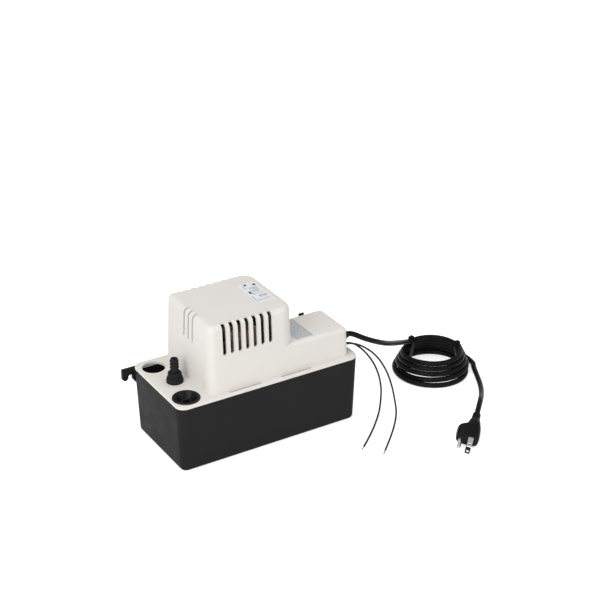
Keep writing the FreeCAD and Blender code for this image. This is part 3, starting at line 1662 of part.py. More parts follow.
# The mains plug lies on its side, its blades one above the other and its nose a little down
plug_turn = Rotation(
    d.mains_plug_heading.number, d.mains_plug_tilt.number, d.mains_plug_roll.number
)
TAIL_ROUTE = [
    (326.4, -36.2, 3.4),
    (315.0, -59.5, 3.4),
    (301.5, -84.7, 6.0),
    (280.3, -114.6, 12.5),
    tuple(Vector(*plug_neck) - plug_turn.multVec(Vector(d.mains_plug_run_in.number, 0, 0))),
    plug_neck,
]
grommet_out = wall_x(lead_hole_z + d.grommet_radius) + 2 * d.grommet_radius * tangent(
    d.cover_draft
)
lead_start_x = (grommet_out + d.grommet_head).number
LEAD_ONE_ROUTE = [
    (lead_start_x, (cord_hole_y + d.lead_spacing).number, lead_hole_z.number),
    (126.0, (cord_hole_y + d.lead_spacing).number, lead_hole_z.number),
    (137.0, -46.5, 91.0),
    (154.0, -45.5, 70.0),
    (168.0, -42.0, 45.0),
    (174.5, -41.5, 20.0),
    (168.5, -49.5, 4.0),
    (151.0, -71.0, 1.4),
    (118.0, -104.0, 1.4),
    (93.0, -124.5, 1.4),
]
LEAD_TWO_ROUTE = [
    (lead_start_x, (cord_hole_y - d.lead_spacing).number, lead_hole_z.number),
    (126.0, (cord_hole_y - d.lead_spacing).number, lead_hole_z.number),
    (139.0, -50.5, 93.5),
    (157.0, -54.0, 77.0),
    (172.0, -55.0, 52.0),
    (180.5, -57.0, 26.0),
    (180.0, -66.0, 5.0),
    (172.0, -80.0, 1.4),
    (155.0, -101.0, 1.4),
    (133.0, -124.0, 1.4),
    (110.5, -145.0, 1.4),
]


def make_lead_tips():
    tips = []
    for i, route in enumerate((LEAD_ONE_ROUTE, LEAD_TWO_ROUTE), start=1):
        end, before = Vector(*route[-1]), Vector(*route[-2])
        way = (end - before).normalize()
        tips.append(Part.makeCylinder(d.tip_radius.number, d.tip_length.number, end, way))
    return feature("lead_tips", Part.makeCompound(tips))


def make_coil():
    outer, inner, height = d.coil_outer_radius, d.coil_inner_radius, d.coil_height
    width = 2 * d.cord_radius
    profile = [
        (outer - 1.5 * width, 0),
        (outer, 0),
        (outer, height / 2),
        (outer - width, height),
        (inner, height),
        (inner, height * 0.6),
    ]
    return turned_part("cord_coil", profile, d.coil_x, d.coil_y)


def make_ties():
    """Two straps round the bundle, each a closed band in a plane through the coil's axis."""
    bands = []
    gap, thick = 0.3, d.tie_thickness.number
    low_r, high_r = d.coil_inner_radius.number - gap, d.coil_outer_radius.number + gap
    height = d.coil_height.number + gap
    for angle in (97.0, -18.0):
        outer = Part.makeBox(
            high_r - low_r + 2 * thick,
            d.tie_width.number,
            height + thick,
            Vector(low_r - thick, -d.tie_width.number / 2, 0),
        )
        inner = Part.makeBox(
            high_r - low_r,
            d.tie_width.number,
            height,
            Vector(low_r, -d.tie_width.number / 2, 0),
        )
        band = outer.cut(inner)
        band.Placement = Placement(coil_centre, Rotation(Vector(0, 0, 1), angle))
        bands.append(band)
    return feature("cord_ties", Part.makeCompound(bands))


# The mains plug
plug_place = Placement(Vector(*plug_neck), plug_turn)


def place_on_plug(body):
    body.Placement = plug_place
    return place(body, d.mains_plug_x, d.mains_plug_y, d.mains_plug_axis_z)


def make_plug_body():
    body = doc.addObject("PartDesign::Body", "plug_body")
    body.Label = "plug_body"
    half = d.mains_plug_thickness / 2
    end = d.mains_plug_length
    collar, collar_end = d.mains_plug_collar_radius, d.mains_plug_collar_length
    neck = sketch_on(body, "neck", "XZ_Plane")
    corners = [
        (0, 0),
        (0, collar),
        (collar_end, collar),
        (collar_end + 4, collar - 0.5),
        (end / 2, half),
        (end / 2 + 2, half),
        (end / 2 + 2, 0),
    ]
    polygon(neck, corners)
    turned = body.newObject("PartDesign::Revolution", "plug_neck_turned")
    turned.Profile = neck
    turned.ReferenceAxis = (neck, ["H_Axis"])
    turned.Angle = 360
    pin_side = -d.ground_pin_offset - 7
    block = sketch_on(body, "block", at=-half)
    corners = [
        (end * 0.42, half - 1),
        (end * 0.42, -half + 1),
        (end * 0.58, pin_side + 2),
        (end * 0.68, pin_side),
        (end, pin_side + 1),
        (end, half - 0.5),
    ]
    polygon(block, corners)
    pad(body, block, d.mains_plug_thickness)
    far, near = end.number, end.number / 2 + 2

    def rim(edge):
        ends = edge.Vertexes
        level = abs(ends[0].Z - ends[-1].Z) < 1e-4
        high = abs(abs(ends[0].Z) - half.number) < 1e-4
        return len(ends) == 2 and level and high and max(v.X for v in ends) > near

    round_edges(body, d.mains_plug_round, rim)
    return place_on_plug(body)


def make_blades():
    blades = []
    length, width, thick = d.blade_length.number, d.blade_width.number, d.blade_thickness.number
    for side in (-1, 1):
        z = side * d.blade_spacing.number / 2
        corner = Vector(d.mains_plug_length.number, -width / 2, z - thick / 2)
        blade = Part.makeBox(length, width, thick, corner)
        hole_at = corner + Vector(length - 4.5, width / 2, -1)
        blade = blade.cut(Part.makeCylinder(d.blade_hole_radius.number, thick + 2, hole_at))
        blades.append(blade)
    return feature("plug_blades", Part.makeCompound(blades), plug_place)


def make_ground_pin():
    radius = d.ground_pin_radius.number
    length = d.ground_pin_length.number
    base = Vector(d.mains_plug_length.number, -d.ground_pin_offset.number, 0)
    shank = Part.makeCylinder(radius, length - radius, base, Vector(1, 0, 0))
    nose = Part.makeSphere(radius, base + Vector(length - radius, 0, 0))
    return feature("plug_ground_pin", shank.fuse(nose).removeSplitter(), plug_place)


PARTS = [
    make_tank(),
    make_cover(),
    make_plate(),
    make_deck_screws(),
    make_inlet_plug("front_plug", -inlet_x, -inlet_y, -d.plug_floor),
    make_inlet_plug("rear_plug", inlet_x, inlet_y, d.rear_tab_height),
    make_dome_label(),
    make_step_label(),
    make_fitting(),
    make_seal(),
    make_ball(),
    make_discharge_tube(),
    make_stator(),
    make_shading_rings(),
    make_bobbin(),
    make_winding(),
    make_bracket("lower_bracket", stack_low, -1),
    make_bracket("upper_bracket", stack_top, 1),
    make_bearing("lower_bearing", stack_low, -1),
    make_bearing("upper_bearing", stack_top, 1),
    make_motor_screws(),
    make_standoffs(),
    make_shaft(),
    make_rotor(),
    make_fan(),
    make_slinger(),
    make_impeller(),
    make_column(),
    make_volute(),
    make_intake(),
    make_volute_screws(),
    make_float(),
    make_float_rod(),
    make_rod_clips(),
    make_switch_bracket(),
    make_bracket_screws(),
    make_lever_pin(),
    make_lever(),
    make_switch("pump_switch", d.pump_switch_y),
    make_switch("safety_switch", d.safety_switch_y),
    make_button("pump_switch_button", d.pump_switch_y),
    make_button("safety_switch_button", d.safety_switch_y),
    make_switch_screws(),
    make_connectors(),
    make_motor_leads(),
    make_ground_screw(),
    make_relief(),
    make_grommet(),
    cord_tube("main_cord", MAIN_ROUTE, d.cord_radius),
    cord_tube("cord_tail", TAIL_ROUTE, d.cord_radius),
    cord_tube("lead_one", LEAD_ONE_ROUTE, d.lead_radius),
    cord_tube("lead_two", LEAD_TWO_ROUTE, d.lead_radius),
    make_lead_tips(),
    make_coil(),
    make_ties(),
    make_plug_body(),
    make_blades(),
    make_ground_pin(),
]

doc.recompute()
for obj in doc.Objects:
    if "Invalid" in obj.State or "Error" in obj.State:
        raise RuntimeError(f"{obj.Label} failed: {obj.State}")
for part in PARTS:
    if part.Shape.isNull() or not part.Shape.isValid():
        raise RuntimeError(f"{part.Label} has no valid shape")

os.makedirs("parts", exist_ok=True)
for part in PARTS:
    part.Shape.exportStep(os.path.join("parts", f"{part.Label}.step"))
print(f"{len(PARTS)} parts written")
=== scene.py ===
import math
import random

import bmesh
import bpy
from mathutils import Matrix, Vector


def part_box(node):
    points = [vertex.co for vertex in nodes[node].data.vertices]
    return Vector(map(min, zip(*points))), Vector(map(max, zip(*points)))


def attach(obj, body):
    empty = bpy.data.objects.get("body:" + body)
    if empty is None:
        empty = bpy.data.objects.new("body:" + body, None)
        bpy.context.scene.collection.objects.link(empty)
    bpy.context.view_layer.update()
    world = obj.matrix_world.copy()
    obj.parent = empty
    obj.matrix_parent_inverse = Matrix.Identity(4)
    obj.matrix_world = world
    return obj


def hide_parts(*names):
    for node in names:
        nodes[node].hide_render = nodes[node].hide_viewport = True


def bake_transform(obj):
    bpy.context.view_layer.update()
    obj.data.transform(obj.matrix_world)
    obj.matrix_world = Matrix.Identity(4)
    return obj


# Condensate pump, in metres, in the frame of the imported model.
# +X runs to the end where the cord leaves, -Y is the long front face, +Z is up.

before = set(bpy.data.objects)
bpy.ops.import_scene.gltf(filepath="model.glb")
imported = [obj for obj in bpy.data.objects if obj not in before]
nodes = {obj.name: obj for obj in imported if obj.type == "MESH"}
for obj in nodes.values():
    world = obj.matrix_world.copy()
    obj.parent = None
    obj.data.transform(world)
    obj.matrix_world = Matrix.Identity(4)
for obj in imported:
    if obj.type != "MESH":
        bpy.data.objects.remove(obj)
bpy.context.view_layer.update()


# The tank. It is one injection moulding of black plastic, open at the top, with a hanger ear at each
# end of its rear wall. It stands on the floor, and the cover with all that hangs from it sits on its
# rim. Its finely grained skin is given to the solid as a finish, and so are all the others below.
MM = 0.001
WELD_REACH = 0.002 * MM
SHARP_EDGE = math.radians(30)
GRAIN_DEPTH = 0.1 * MM
GLOSS_VARIES = 0.15
# A noise's values mostly lie between these two.
NOISE_LOW = 0.3
NOISE_HIGH = 0.7


class Finish:
    """The node tree of one material, with a short call for each kind of node that this pump needs."""

    def __init__(self, name):
        self.material = bpy.data.materials.new(name)
        self.material.use_nodes = True
        self.tree = self.material.node_tree
        self.tree.nodes.clear()
        out = self.tree.nodes.new("ShaderNodeOutputMaterial")
        self.shader = self.tree.nodes.new("ShaderNodeBsdfPrincipled")
        self.link(self.shader.outputs["BSDF"], out.inputs["Surface"])
        self.place = self.tree.nodes.new("ShaderNodeTexCoord").outputs["Object"]

    def link(self, source, target):
        self.tree.links.new(source, target)

    def noise(self, scale, detail, stretch=None):
        """Cloudy patches, drawn out along an axis where stretch is small."""
        node = self.tree.nodes.new("ShaderNodeTexNoise")
        node.inputs["Scale"].default_value = scale
        node.inputs["Detail"].default_value = detail
        source = self.place
        if stretch is not None:
            mapping = self.tree.nodes.new("ShaderNodeMapping")
            mapping.inputs["Scale"].default_value = stretch
            self.link(self.place, mapping.inputs["Vector"])
            source = mapping.outputs["Vector"]
        self.link(source, node.inputs["Vector"])
        return node.outputs["Fac"]

    def bands(self, axis, scale, waver):
        """Parallel lines across an axis, which waver a little."""
        node = self.tree.nodes.new("ShaderNodeTexWave")
        node.bands_direction = axis
        node.inputs["Scale"].default_value = scale
        node.inputs["Distortion"].default_value = waver
        self.link(self.place, node.inputs["Vector"])
        return node.outputs["Fac"]

    def spread(self, source, low, high):
        """The middle of the source's range, spread out from low to high."""
        node = self.tree.nodes.new("ShaderNodeMapRange")
        node.inputs["From Min"].default_value = NOISE_LOW
        node.inputs["From Max"].default_value = NOISE_HIGH
        node.inputs["To Min"].default_value = low
        node.inputs["To Max"].default_value = high
        self.link(source, node.inputs["Value"])
        return node.outputs["Result"]

    def colour(self, source, one, two):
        """The base colour goes from one to two with the source."""
        node = self.tree.nodes.new("ShaderNodeMix")
        node.data_type = "RGBA"
        self.link(source, node.inputs["Factor"])
        node.inputs["A"].default_value = (*one, 1.0)
        node.inputs["B"].default_value = (*two, 1.0)
        self.link(node.outputs["Result"], self.shader.inputs["Base Color"])

    def relief(self, source, depth, strength):
        """The source raises and sinks the surface."""
        node = self.tree.nodes.new("ShaderNodeBump")
        node.inputs["Distance"].default_value = depth
        node.inputs["Strength"].default_value = strength
        self.link(source, node.inputs["Height"])
        self.link(node.outputs["Normal"], self.shader.inputs["Normal"])

    def set(self, socket, value):
        self.shader.inputs[socket].default_value = value


def shade(colour, share):
    """The colour made lighter or darker by a share."""
    return [min(1.0, part * share) for part in colour]


def moulded(
    name,
    colour,
    roughness,
    grain=1500.0,
    relief=0.25,
    tint=0.06,
    shine=0.5,
    metallic=0.0,
):
    """Moulded plastic or rubber: one colour that varies a little in soft patches, and a fine grain."""
    finish = Finish(name)
    patches = finish.spread(finish.noise(scale=18.0, detail=2.0), 0.0, 1.0)
    finish.colour(patches, shade(colour, 1 - tint), shade(colour, 1 + tint))
    smears = finish.noise(scale=60.0, detail=4.0)
    rougher = min(1.0, roughness * (1 + GLOSS_VARIES))
    gloss = finish.spread(smears, roughness * (1 - GLOSS_VARIES), rougher)
    finish.link(gloss, finish.shader.inputs["Roughness"])
    finish.set("Metallic", metallic)
    finish.set("Specular IOR Level", shine)
    finish.relief(finish.noise(scale=grain, detail=2.0), GRAIN_DEPTH, relief)
    return finish.material


def dress(material, *names):
    """Gives solids a finish, with rounded faces shaded smooth and edges kept sharp."""
    for name in names:
        solid = nodes[name]
        solid.data.materials.clear()
        solid.data.materials.append(material)
        for face in solid.data.polygons:
            face.use_smooth = True
        weld = solid.modifiers.new("weld", "WELD")
        weld.merge_threshold = WELD_REACH
        split = solid.modifiers.new("split", "EDGE_SPLIT")
        split.split_angle = SHARP_EDGE


tank_plastic = moulded(
    "tank_plastic",
    (0.02, 0.02, 0.0205),
    0.48,
    grain=1100.0,
    relief=0.2,
    tint=0.03,
    shine=0.04,
)
dress(tank_plastic, "tank")


# The cover. Lip, deck, motor dome and step box are one injection moulding of warm white plastic, with
# slots for air in the dome's walls, two latch slots along the front and three drain inlets in the deck.
cover_plastic = moulded(
    "cover_plastic",
    (0.785, 0.752, 0.712),
    0.5,
    grain=1300.0,
    relief=0.15,
    tint=0.012,
    shine=0.25,
)
dress(cover_plastic, "top_cover")


# The two stickers, one on the dome and one on the step. They are thin printed film, pressed on by hand.
# Their print is plain bars and broken lines, raised a little from the film.
INK_SINKS = 0.02
DARK_INK = 0.06
PALE_INK = 0.05
# A bar is low x, low y, high x and high y from the sticker's own corner, in millimetres. A line is
# given by its y alone.
DARK_MARKS = [(7.3, 46.7, 10.4, 50.9), (18.0, 43.9, 21.8, 48.1), (3.0, 25.7, 6.2, 30.9)]
DARK_LINES = [38.1, 35.9, 32.9, 30.7, 28.5, 17.3, 15.1, 12.9]
DARK_INDENT = 0.9
DARK_INDENTS = 3
PALE_RULES = [(1.2, 2.5, 2.1, 18.5), (7.2, 19.5, 7.8, 34.5), (4.3, 37.5, 5.0, 47.5)]
PALE_LINES = [4.0, 5.9, 7.8, 40.4, 24.5, 22.1]
STEP_LINES_FROM = 2.0
STEP_LINES_TO = 48.5
STEP_LINE_PITCH = 1.9
STEP_EDGE = [(22.8, 1.5, 23.4, 49.0)]


def new_piece(name, mesh, material, body=None):
    """A piece of this script's own, with its material, riding on a body if one is given."""
    piece = bpy.data.objects.new(name, mesh)
    bpy.context.scene.collection.objects.link(piece)
    mesh.materials.append(material)
    for face in mesh.polygons:
        face.use_smooth = True
    if body is not None:
        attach(piece, body)
    return piece


def finish_mesh(bm, name):
    """The bmesh as a mesh of that name."""
    mesh = bpy.data.meshes.new(name)
    bm.to_mesh(mesh)
    bm.free()
    return mesh


def broken_line(y, width, low_x, high_x, shortest, longest, gap):
    """A row of short bars of uneven length, like a line of print too small to read."""
    bars = []
    x = low_x
    while x < high_x - shortest:
        length = min(random.uniform(shortest, longest), high_x - x)
        bars.append((x, y, x + length, y + width))
        x += length + gap
    return bars


def print_on(sticker, name, bars, thickness, ink):
    """The bars as one thin piece on top of the sticker."""
    low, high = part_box(sticker)
    base = high.z - INK_SINKS * MM
    bm = bmesh.new()
    for low_x, low_y, high_x, high_y in bars:
        corners = [(low_x, low_y), (high_x, low_y), (high_x, high_y), (low_x, high_y)]
        under, over = [], []
        for x, y in corners:
            place = Vector((low.x + x * MM, low.y + y * MM, base))
            under.append(bm.verts.new(place))
            over.append(bm.verts.new(place + Vector((0, 0, thickness * MM))))
        bm.faces.new(over)
        bm.faces.new(list(reversed(under)))
        for k in range(4):
            j = (k + 1) % 4
            bm.faces.new((under[k], under[j], over[j], over[k]))
    new_piece(name, finish_mesh(bm, name), ink, "cover")


random.seed(7)
label_film = moulded("label_film", (0.83, 0.84, 0.87), 0.35, grain=900.0, relief=0.1, tint=0.02)
label_paper = moulded("label_paper", (0.60, 0.62, 0.64), 0.5, grain=900.0, relief=0.2, tint=0.05)
dark_ink = moulded("print_ink", (0.05, 0.055, 0.07), 0.5)
pale_ink = moulded("pale_print_ink", (0.34, 0.35, 0.38), 0.5)
dress(label_film, "dome_label")
dress(label_paper, "step_label")

dark_bars = list(DARK_MARKS)
for row, line_y in enumerate(DARK_LINES):
    indent = DARK_INDENT * (row % DARK_INDENTS)
    dark_bars += broken_line(
        line_y, width=0.9, low_x=9.3 + indent, high_x=20.3, shortest=1.6, longest=4.2, gap=1.1
    )
print_on("dome_label", "dome_label_print", dark_bars, DARK_INK, dark_ink)

pale_bars = list(PALE_RULES)
for line_y in PALE_LINES:
    pale_bars += broken_line(
        line_y, width=0.6, low_x=3.8, high_x=20.8, shortest=1.4, longest=3.6, gap=0.8
    )
print_on("dome_label", "dome_label_small_print", pale_bars, PALE_INK, pale_ink)

fine_bars = []
line_y = STEP_LINES_FROM
while line_y < STEP_LINES_TO:
    fine_bars += broken_line(
        line_y, width=0.7, low_x=2.0, high_x=21.5, shortest=1.6, longest=6.0, gap=1.0
    )
    line_y += STEP_LINE_PITCH
print_on("step_label", "step_label_print", fine_bars, PALE_INK, pale_ink)
print_on("step_label", "step_label_edge", STEP_EDGE, PALE_INK, dark_ink)


# The two inlet plugs. They are pressed by hand into the drain inlets that aren't in use, each with a
# tab to pull it by. Their colour is darker than the tank's: partly the plugs' own darker plastic, partly
# painted shade for the recesses they sit in. Their plastic is also glossier.
inlet_plug = moulded(
    "inlet_plug",
    (0.008, 0.008, 0.0085),
    0.36,
    grain=900.0,
    relief=0.2,
    tint=0.05,
    shine=0.15,
)
dress(inlet_plug, "front_plug", "rear_plug")


# The outlet. The barbed fitting is moulded of the tank's plastic. Its spigot goes down through the deck
# and seals with an O-ring in the cup of the pump's tube. The rubber ball inside it is the check valve,
# which keeps the water in the hose from running back.
rubber = moulded(
    "rubber",
    (0.012, 0.012, 0.013),
    0.6,
    grain=900.0,
    relief=0.4,
    tint=0.1,
    shine=0.12,
)
dress(tank_plastic, "discharge_fitting")
dress(rubber, "fitting_seal", "check_ball")


# The deck plate with its screws. It is pressed from zinc plated steel, closes the motor's room from
# below and carries the motor above it and the pump below it.
PLATING_DEPTH = 0.05 * MM


def plated(name, colour, roughness):
    """Plated, drawn or machined metal, with fine marks along X."""
    finish = Finish(name)
    marks = finish.noise(scale=700.0, detail=3.0, stretch=(0.08, 1.0, 1.0))
    finish.colour(marks, shade(colour, 0.85), shade(colour, 1.12))
    gloss = finish.spread(marks, roughness * 0.8, min(1.0, roughness * 1.25))
    finish.link(gloss, finish.shader.inputs["Roughness"])
    finish.set("Metallic", 1.0)
    finish.relief(marks, PLATING_DEPTH, 0.3)
    return finish.material


zinc_steel = plated("zinc_steel", (0.55, 0.55, 0.53), 0.4)
dress(zinc_steel, "deck_plate", "deck_screws")


# The motor's standing parts. Punched steel sheets are stacked into the core, and a bobbin with the
# taped winding sits on it. Two pressed brackets hold the bronze bearings, and long screws clamp all
# of it to the standoffs on the deck plate. The tape and the core are seen through the dome's slots.
SHEET_EDGE_DEPTH = 0.2 * MM
TAPE_EDGE_DEPTH = 0.3 * MM


def lined(name, axis, scale, waver, one, two, roughness, depth, strength, metallic=0.0):
    """Two colours in fine parallel lines, as stacked sheets or wound tape show at their edges."""
    finish = Finish(name)
    lines = finish.bands(axis, scale, waver)
    finish.colour(lines, one, two)
    finish.set("Metallic", metallic)
    finish.set("Roughness", roughness)
    finish.relief(lines, depth, strength)
    return finish.material


laminations = lined(
    "laminations",
    axis="Z",
    scale=320.0,
    waver=0.6,
    one=(0.03, 0.02, 0.015),
    two=(0.09, 0.08, 0.07),
    roughness=0.55,
    depth=SHEET_EDGE_DEPTH,
    strength=0.5,
    metallic=0.5,
)
winding_tape = lined(
    "winding_tape",
    axis="X",
    scale=60.0,
    waver=1.5,
    one=(0.34, 0.24, 0.15),
    two=(0.13, 0.08, 0.05),
    roughness=0.6,
    depth=TAPE_EDGE_DEPTH,
    strength=0.4,
)
nylon = moulded("nylon", (0.58, 0.54, 0.44), 0.45)
copper = plated("copper", (0.72, 0.36, 0.2), 0.3)
bronze = plated("bronze", (0.55, 0.38, 0.18), 0.45)
dress(laminations, "stator_core")
dress(winding_tape, "coil_winding")
dress(nylon, "coil_bobbin")
dress(copper, "shading_rings")
dress(zinc_steel, "lower_bracket", "upper_bracket", "motor_screws", "motor_standoffs")
dress(bronze, "lower_bearing", "upper_bearing")


# The motor's turning parts. The ground steel shaft carries the rotor with a moulded fan above it, a
# rubber ring that slings water off below the motor, and the impeller at its lower end.
bright_steel = plated("bright_steel", (0.66, 0.66, 0.67), 0.25)
pump_plastic = moulded("pump_plastic", (0.16, 0.17, 0.18), 0.5)
dress(bright_steel, "shaft")
dress(laminations, "rotor_core")
dress(nylon, "cooling_fan")
dress(rubber, "slinger")
dress(pump_plastic, "impeller")


# The pump in the tank. A moulded column hangs from the deck plate with the volute at its foot, and the
# intake plate is screwed under it. A bent tube leads the water from the volute up to the outlet.
dress(pump_plastic, "pump_column", "volute", "intake_plate", "discharge_tube")
dress(bright_steel, "volute_screws")


# The float. It is a block of closed foam, held on a steel rod by a clip above and one below it. It rises
# with the water, and the top of the rod then lifts the lever of the switches.
float_foam = moulded("float_foam", (0.68, 0.68, 0.64), 0.8, grain=400.0, relief=0.8, tint=0.05)
dress(float_foam, "float")
dress(bright_steel, "float_rod", "rod_clips")


# The two switches. They are screwed to a bracket of folded steel, one to run the pump and one to stop
# the air conditioner. A steel lever turns on a pin in the bracket and presses both buttons.
switch_plastic = moulded("switch_plastic", (0.05, 0.05, 0.055), 0.3)
button_plastic = moulded("button_plastic", (0.45, 0.04, 0.03), 0.3)
dress(zinc_steel, "switch_bracket", "bracket_screws", "switch_lever", "switch_screws")
dress(bright_steel, "lever_pin")
dress(switch_plastic, "pump_switch", "safety_switch")
dress(button_plastic, "pump_switch_button", "safety_switch_button")


# The wiring inside the cover. The motor's leads meet the cord in two twist-on connectors in the step,
# and a green screw in the deck plate holds the cord's earth wire.
wire_insulation = moulded("wire_insulation", (0.03, 0.03, 0.035), 0.4)
connector_plastic = moulded("connector_plastic", (0.5, 0.45, 0.34), 0.5)
ground_green = moulded("ground_green", (0.03, 0.22, 0.07), 0.35, metallic=0.4)
dress(wire_insulation, "motor_leads")
dress(connector_plastic, "wire_connectors")
dress(ground_green, "ground_screw")


# The relief and the grommet. The plastic relief sits in the step's end wall and grips the mains cord,
# and the rubber grommet below it lets the two switch leads out.
dress(tank_plastic, "strain_relief")
dress(rubber, "lead_grommet")


# The mains plug. Its body is moulded on the end of the cord in the same vinyl, narrow and ribbed at the
# neck, and wide behind the face on the side of the ground pin. Blades and pin are nickel plated brass.
PLUG_NECK = (236.6, -160.9, 20.5)
PLUG_SIDES = 48
PLUG_HEADING = math.radians(-136.3)
PLUG_DIP = math.radians(10.8)
PLUG_ROLL = math.radians(-12.1)
# Each section: distance from the neck, centre across, half width, half thickness, and squareness,
# where 2 is round. The lengths are in millimetres.
PLUG_SECTIONS = [
    (0.0, 0.0, 3.6, 3.6, 2.0),
    (0.0, 0.0, 4.6, 4.6, 2.0),
    (0.8, 0.0, 5.1, 5.1, 2.0),
    (3.2, 0.0, 5.2, 5.2, 2.0),
    (3.8, 0.0, 4.5, 4.5, 2.0),
    (5.0, 0.0, 4.5, 4.5, 2.0),
    (5.6, 0.0, 5.3, 5.3, 2.0),
    (8.6, 0.0, 5.5, 5.5, 2.0),
    (9.2, 0.0, 4.9, 4.9, 2.0),
    (10.6, 0.0, 4.9, 4.9, 2.0),
    (11.4, 0.0, 5.8, 5.8, 2.2),
    (15.0, -0.2, 6.9, 7.0, 2.4),
    (19.0, -0.3, 7.7, 8.2, 2.6),
    (23.0, -0.3, 8.4, 9.2, 2.8),
    (26.5, -0.5, 9.3, 9.8, 3.0),
    (29.0, -1.9, 11.1, 10.1, 3.1),
    (31.0, -3.6, 13.1, 10.3, 3.2),
    (33.5, -4.5, 14.3, 10.4, 3.3),
    (38.0, -4.6, 14.7, 10.4, 3.4),
    (44.0, -4.1, 14.3, 10.3, 3.4),
    (47.6, -4.0, 13.9, 10.0, 3.4),
    (48.7, -4.0, 13.3, 9.4, 3.2),
    (49.0, -4.0, 12.3, 8.4, 3.0),
    (49.0, -4.0, 6.0, 4.0, 3.0),
]


def rounded_corner(half_width, half_thickness, squareness, angle):
    """A point of a section that is round at squareness 2 and squarer above it."""
    across, up = math.cos(angle), math.sin(angle)
    return (
        math.copysign(abs(across) ** (2 / squareness), across) * half_width,
        math.copysign(abs(up) ** (2 / squareness), up) * half_thickness,
    )


def skin(bm, rings):
    """Walls from ring to ring."""
    for one, two in zip(rings, rings[1:]):
        for k in range(len(one)):
            j = (k + 1) % len(one)
            bm.faces.new((one[k], one[j], two[j], two[k]))


def plug_mesh():
    bm = bmesh.new()
    rings = []
    for along, centre, half_width, half_thickness, squareness in PLUG_SECTIONS:
        ring = []
        for k in range(PLUG_SIDES):
            angle = 2 * math.pi * k / PLUG_SIDES
            y, z = rounded_corner(half_width, half_thickness, squareness, angle)
            ring.append(bm.verts.new(Vector((along, centre + y, z)) * MM))
        rings.append(ring)
    skin(bm, rings)
    bm.faces.new(rings[0])
    bm.faces.new(rings[-1])
    bmesh.ops.recalc_face_normals(bm, faces=bm.faces)
    turn = (
        Matrix.Rotation(PLUG_HEADING, 4, "Z")
        @ Matrix.Rotation(PLUG_DIP, 4, "Y")
        @ Matrix.Rotation(PLUG_ROLL, 4, "X")
    )
    bm.transform(Matrix.Translation(Vector(PLUG_NECK) * MM) @ turn)
    return finish_mesh(bm, "mains_plug")


cord_vinyl = moulded(
    "cord_vinyl",
    (0.006, 0.006, 0.0072),
    0.36,
    grain=700.0,
    relief=0.2,
    tint=0.1,
    shine=0.09,
)
nickel = plated("nickel", (0.80, 0.79, 0.76), 0.22)
dress(nickel, "plug_blades", "plug_ground_pin")
mains_plug = new_piece("mains_plug", plug_mesh(), cord_vinyl, "tank")
plug_rounding = mains_plug.modifiers.new("smooth", "SUBSURF")
plug_rounding.levels = 1
plug_rounding.render_levels = 1
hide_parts("plug_body")


# The mains cord and its two ties. The cord is round black vinyl over three wires. It falls from the
# relief, runs round a coil of about five and a third turns and goes on to the plug. The ties are flat
# straps of the same black with a small head, drawn tight round the coil's bundle.
CORD_RADIUS = 3.4 * MM
CORD_SIDES = 20
LINE_STEPS = 10
# The cord's way down to the coil and from the coil to the plug, in millimetres.
FROM_RELIEF = [
    (123.5, -40.0, 110.5),
    (128.0, -40.2, 110.2),
    (146.0, -43.0, 98.5),
    (173.0, -40.0, 83.5),
    (204.0, -19.0, 64.0),
    (240.0, 9.5, 42.0),
]
TO_PLUG = [
    (326.4, -36.2, 3.4),
    (315.0, -59.5, 3.4),
    (301.5, -84.7, 6.0),
    (280.3, -114.6, 12.5),
    (253.64, -144.61, 25.0),
    PLUG_NECK,
]
COIL_CENTRE = Vector((277.0, -10.0, 0.0)) * MM
# The first turn starts at this angle in degrees, and all run clockwise as seen from above.
COIL_STARTS_AT = 108.0
COIL_TURNS = 5.36
POINTS_PER_TURN = 14
# Each turn: its radius and height in millimetres, and the share of the turn at which it goes over to
# the next one.
COIL_ROWS = [
    (37.6, 28.7, 0.84),
    (40.8, 22.6, 0.84),
    (44.0, 16.5, 0.84),
    (47.2, 10.4, 0.73),
    (43.3, 3.5, 0.42),
    (50.5, 3.5, 0.23),
    (58.0, 3.6, 1.0),
]
ROW_CHANGE = 0.3
# The turn that drops inside the lowest one bows in by this, in millimetres.
DROPPING_ROW = 3
DROP_BOW = 1.1


def eased(share):
    """The share held between 0 and 1, with a soft start and end."""
    share = min(max(share, 0.0), 1.0)
    return share * share * (3 - 2 * share)


def coil_points():
    """The turns are stacked from the top down, and each goes over to the next row on its way round."""
    count = round(COIL_TURNS * POINTS_PER_TURN)
    points = []
    for i in range(count + 1):
        turn = COIL_TURNS * i / count
        row = min(int(turn), len(COIL_ROWS) - 2)
        radius, height, middle = COIL_ROWS[row]
        next_radius, next_height, _ = COIL_ROWS[row + 1]
        share = eased((turn - row - middle + ROW_CHANGE / 2) / ROW_CHANGE)
        radius += (next_radius - radius) * share
        height += (next_height - height) * share
        if row == DROPPING_ROW:
            radius -= DROP_BOW * 4 * share * (1 - share)
        angle = math.radians(COIL_STARTS_AT - 360 * turn)
        offset = Vector((radius * math.cos(angle), radius * math.sin(angle), height))
        points.append(COIL_CENTRE + offset * MM)
    return points


def in_metres(route):
    return [Vector(place) * MM for place in route]


def smooth_line(route):
    """The points of a NURBS curve that the route's points control."""
    curve = bpy.data.curves.new("route", "CURVE")
    curve.dimensions = "3D"
    curve.resolution_u = LINE_STEPS
    spline = curve.splines.new("NURBS")
    spline.points.add(len(route) - 1)
    for point, place in zip(spline.points, route):
        point.co = (*place, 1.0)
    spline.order_u = 3
    spline.use_endpoint_u = True
    carrier = bpy.data.objects.new("route", curve)
    bpy.context.scene.collection.objects.link(carrier)
    mesh = bpy.data.meshes.new_from_object(carrier)
    line = [vertex.co.copy() for vertex in mesh.vertices]
    bpy.data.objects.remove(carrier)
    bpy.data.curves.remove(curve)
    bpy.data.meshes.remove(mesh)
    return line


